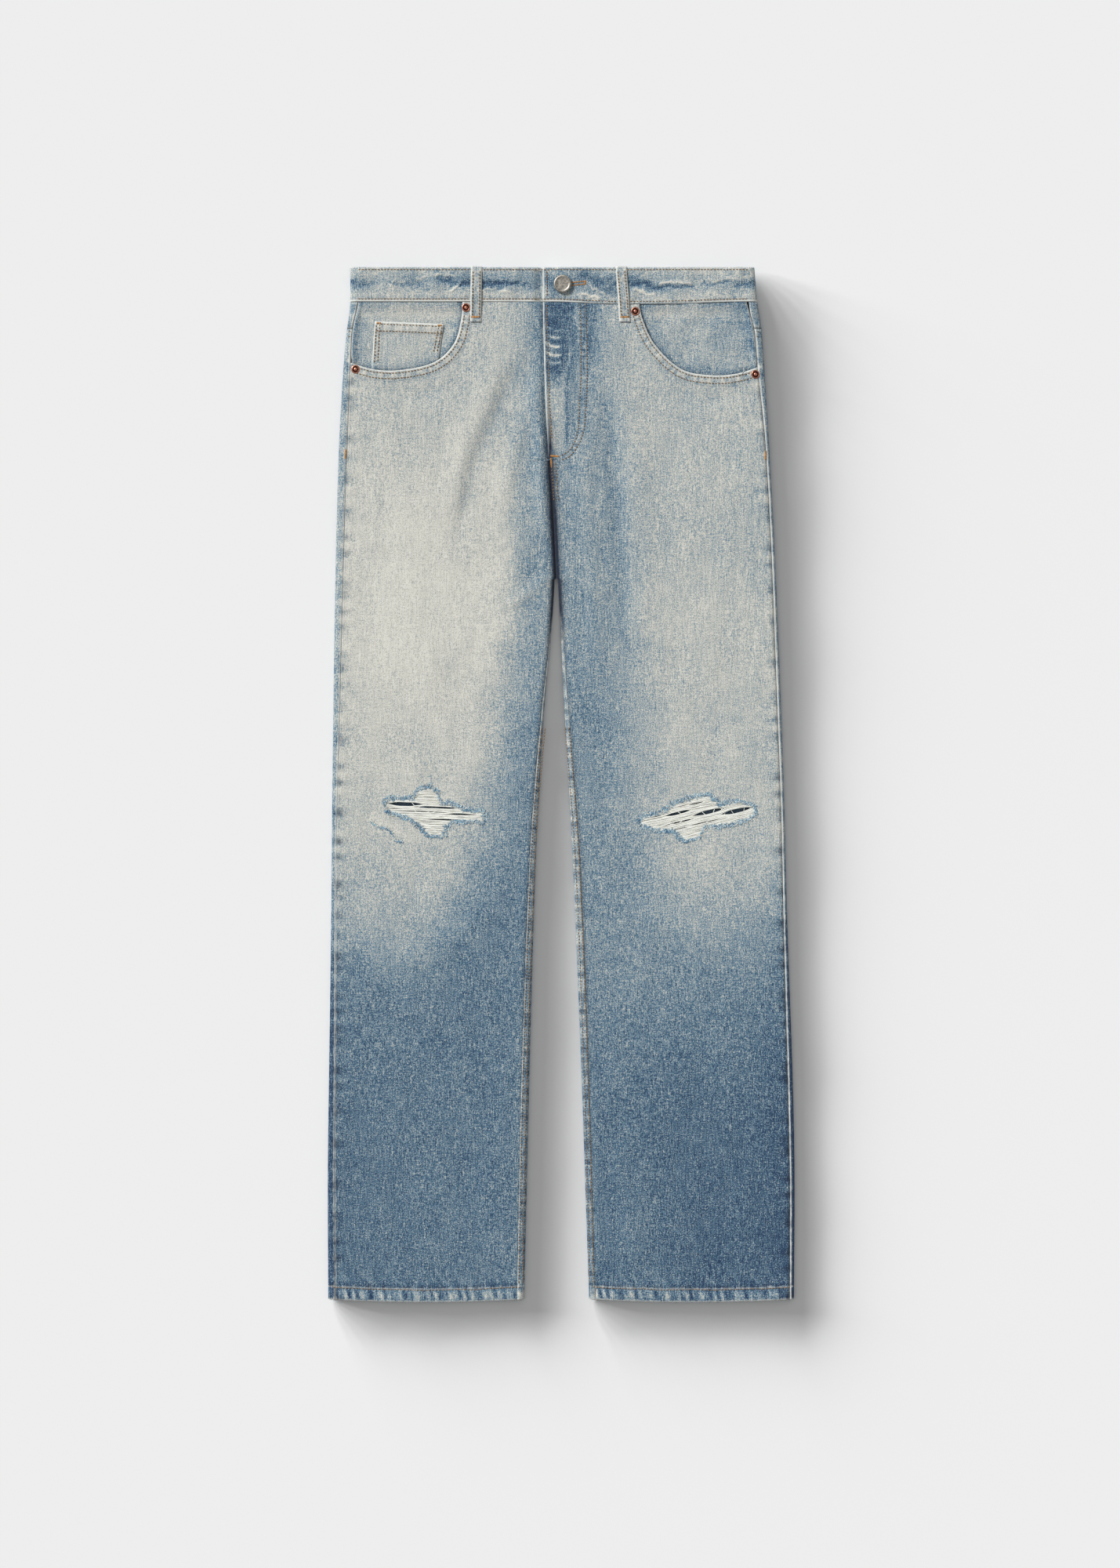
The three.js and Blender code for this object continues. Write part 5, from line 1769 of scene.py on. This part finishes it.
class BuildBacks(bpy.types.Operator):
    """Builds the backs and the yokes, which wrap round the folded sides"""

    bl_idname = "jeans.backs"
    bl_label = "Backs and yokes"

    def execute(self, context):
        sizes, colours = settings_of(context)
        for side in (RIGHT, LEFT):
            build_back(side, sizes, colours)
            build_yoke(side, sizes, colours)
        return {"FINISHED"}


class BuildWaist(bpy.types.Operator):
    """Builds the waistband and its belt loops"""

    bl_idname = "jeans.waist"
    bl_label = "Waistband and belt loops"

    def execute(self, context):
        sizes, colours = settings_of(context)
        build_waistband(sizes, colours)
        for name in LOOPS:
            build_front_loop(name, sizes, colours)
        for word, offset in (("right", -112), ("centre", 0), ("left", 112)):
            build_back_loop(word, offset, sizes, colours)
        return {"FINISHED"}


class BuildPockets(bpy.types.Operator):
    """Builds the pocket facings, the coin pocket and the back pockets"""

    bl_idname = "jeans.pockets"
    bl_label = "Pockets"

    def execute(self, context):
        colours = context.scene.jeans_colours
        for side in (RIGHT, LEFT):
            build_facing(side, colours)
            build_back_pocket(side, colours)
        build_coin_pocket(colours)
        return {"FINISHED"}


class BuildKnees(bpy.types.Operator):
    """Fills the holes at the knees with bare cross threads and frays their edges"""

    bl_idname = "jeans.knees"
    bl_label = "Knees"

    def execute(self, context):
        sizes, colours = settings_of(context)
        chance = np.random.RandomState(KNEES_SEED)
        bare = thread("bare_weft", colours.weft, colours.pale)
        cut_blue = thread("cut_warp", colours.cut_warp, colours.cut_warp_deep)
        for side in (RIGHT, LEFT):
            word = WORDS[side]
            threads = weft_threads(side, sizes, chance)
            settle(threads.build(f"rip_weft_{word}_threads", [bare]), [f"rip_weft_{word}"])
            blue, white = fray_tufts(side, chance)
            settle(blue.build(f"rip_fray_{word}_blue", [cut_blue]))
            settle(white.build(f"rip_fray_{word}_white", [bare]))
        blue, white = worn_patch(chance)
        settle(blue.build("worn_patch_blue", [cut_blue]))
        settle(white.build("worn_patch_white", [bare]))
        return {"FINISHED"}


class BuildStitching(bpy.types.Operator):
    """Sews the rows of stitches, the bar tacks and the worn hem ends"""

    bl_idname = "jeans.stitching"
    bl_label = "Stitching"

    def execute(self, context):
        sizes, colours = settings_of(context)
        chance = np.random.RandomState(SEWING_SEED)
        tan = thread("tan_thread", colours.tan, colours.tan_dim)
        orange = thread("orange_thread", colours.orange, colours.tan)
        bare = thread("hem_ends", colours.fray, colours.light)
        for side in (RIGHT, LEFT):
            rows = sew_front(side, sizes, chance)
            settle(rows.build(f"stitches_front_{WORDS[side]}", [tan]))
        settle(sew_waistband(sizes, chance).build("stitches_waist", [tan]))
        settle(sew_underneath(sizes, chance).build("stitches_back", [tan]))
        settle(tacks(sizes, chance).build("bar_tacks", [orange]))
        settle(hem_fray(chance).build("hem_ends", [bare]))
        return {"FINISHED"}


class BuildMetal(bpy.types.Operator):
    """Adds the shank button and the rivets"""

    bl_idname = "jeans.metal"
    bl_label = "Button and rivets"

    def execute(self, context):
        colours = context.scene.jeans_colours
        pewter = metal("aged_pewter", colours.pewter, colours.pewter_dim, 0.5, 420)
        copper = metal("worn_copper", colours.copper, colours.copper_dim, 0.32, 500)
        hollow = metal("copper_hollow", colours.hollow, colours.hollow_dim, 0.6, 500)
        x, y = BUTTON
        z = float(band_top(np.array([x]), np.array([y]))[0])
        button = turned("waist_button_metal", BUTTON_PROFILE, 72, (x, y, z - 0.2), [pewter])
        settle(button, ["waist_button"])
        for name, (side, x, y) in RIVETS.items():
            low, here, high = top(side, np.array([x - 3, x, x + 3]), np.array([y, y, y]))
            tilt = -math.atan((high - low) / 6)
            place = (x, y, here - 0.1)
            cap = turned(f"{name}_metal", RIVET_PROFILE, 48, place, [copper, hollow], tilt, (5, 8))
            settle(cap, [name])
        return {"FINISHED"}


class JeansPanel(bpy.types.Panel):
    """Lists the pieces in the order in which they are built"""

    bl_idname = "VIEW3D_PT_jeans"
    bl_label = "Jeans"
    bl_space_type = "VIEW_3D"
    bl_region_type = "UI"
    bl_category = "Jeans"

    def draw(self, context):
        for settings in settings_of(context):
            box = self.layout.box()
            for name in settings.__annotations__:
                box.prop(settings, name)
        for step in STEPS:
            self.layout.operator(step.bl_idname)


STEPS = (BuildStage, BuildFronts, BuildBacks, BuildWaist, BuildPockets, BuildKnees, BuildStitching,
         BuildMetal)
CLASSES = (JeansSizes, JeansColours, *STEPS, JeansPanel)


def register():
    for made in CLASSES:
        bpy.utils.register_class(made)
    bpy.types.Scene.jeans_sizes = bpy.props.PointerProperty(type=JeansSizes)
    bpy.types.Scene.jeans_colours = bpy.props.PointerProperty(type=JeansColours)


def unregister():
    del bpy.types.Scene.jeans_colours
    del bpy.types.Scene.jeans_sizes
    for made in reversed(CLASSES):
        bpy.utils.unregister_class(made)


def main():
    register()
    for step in STEPS:
        group, name = step.bl_idname.split(".")
        getattr(getattr(bpy.ops, group), name)()


if __name__ == "__main__":
    main()
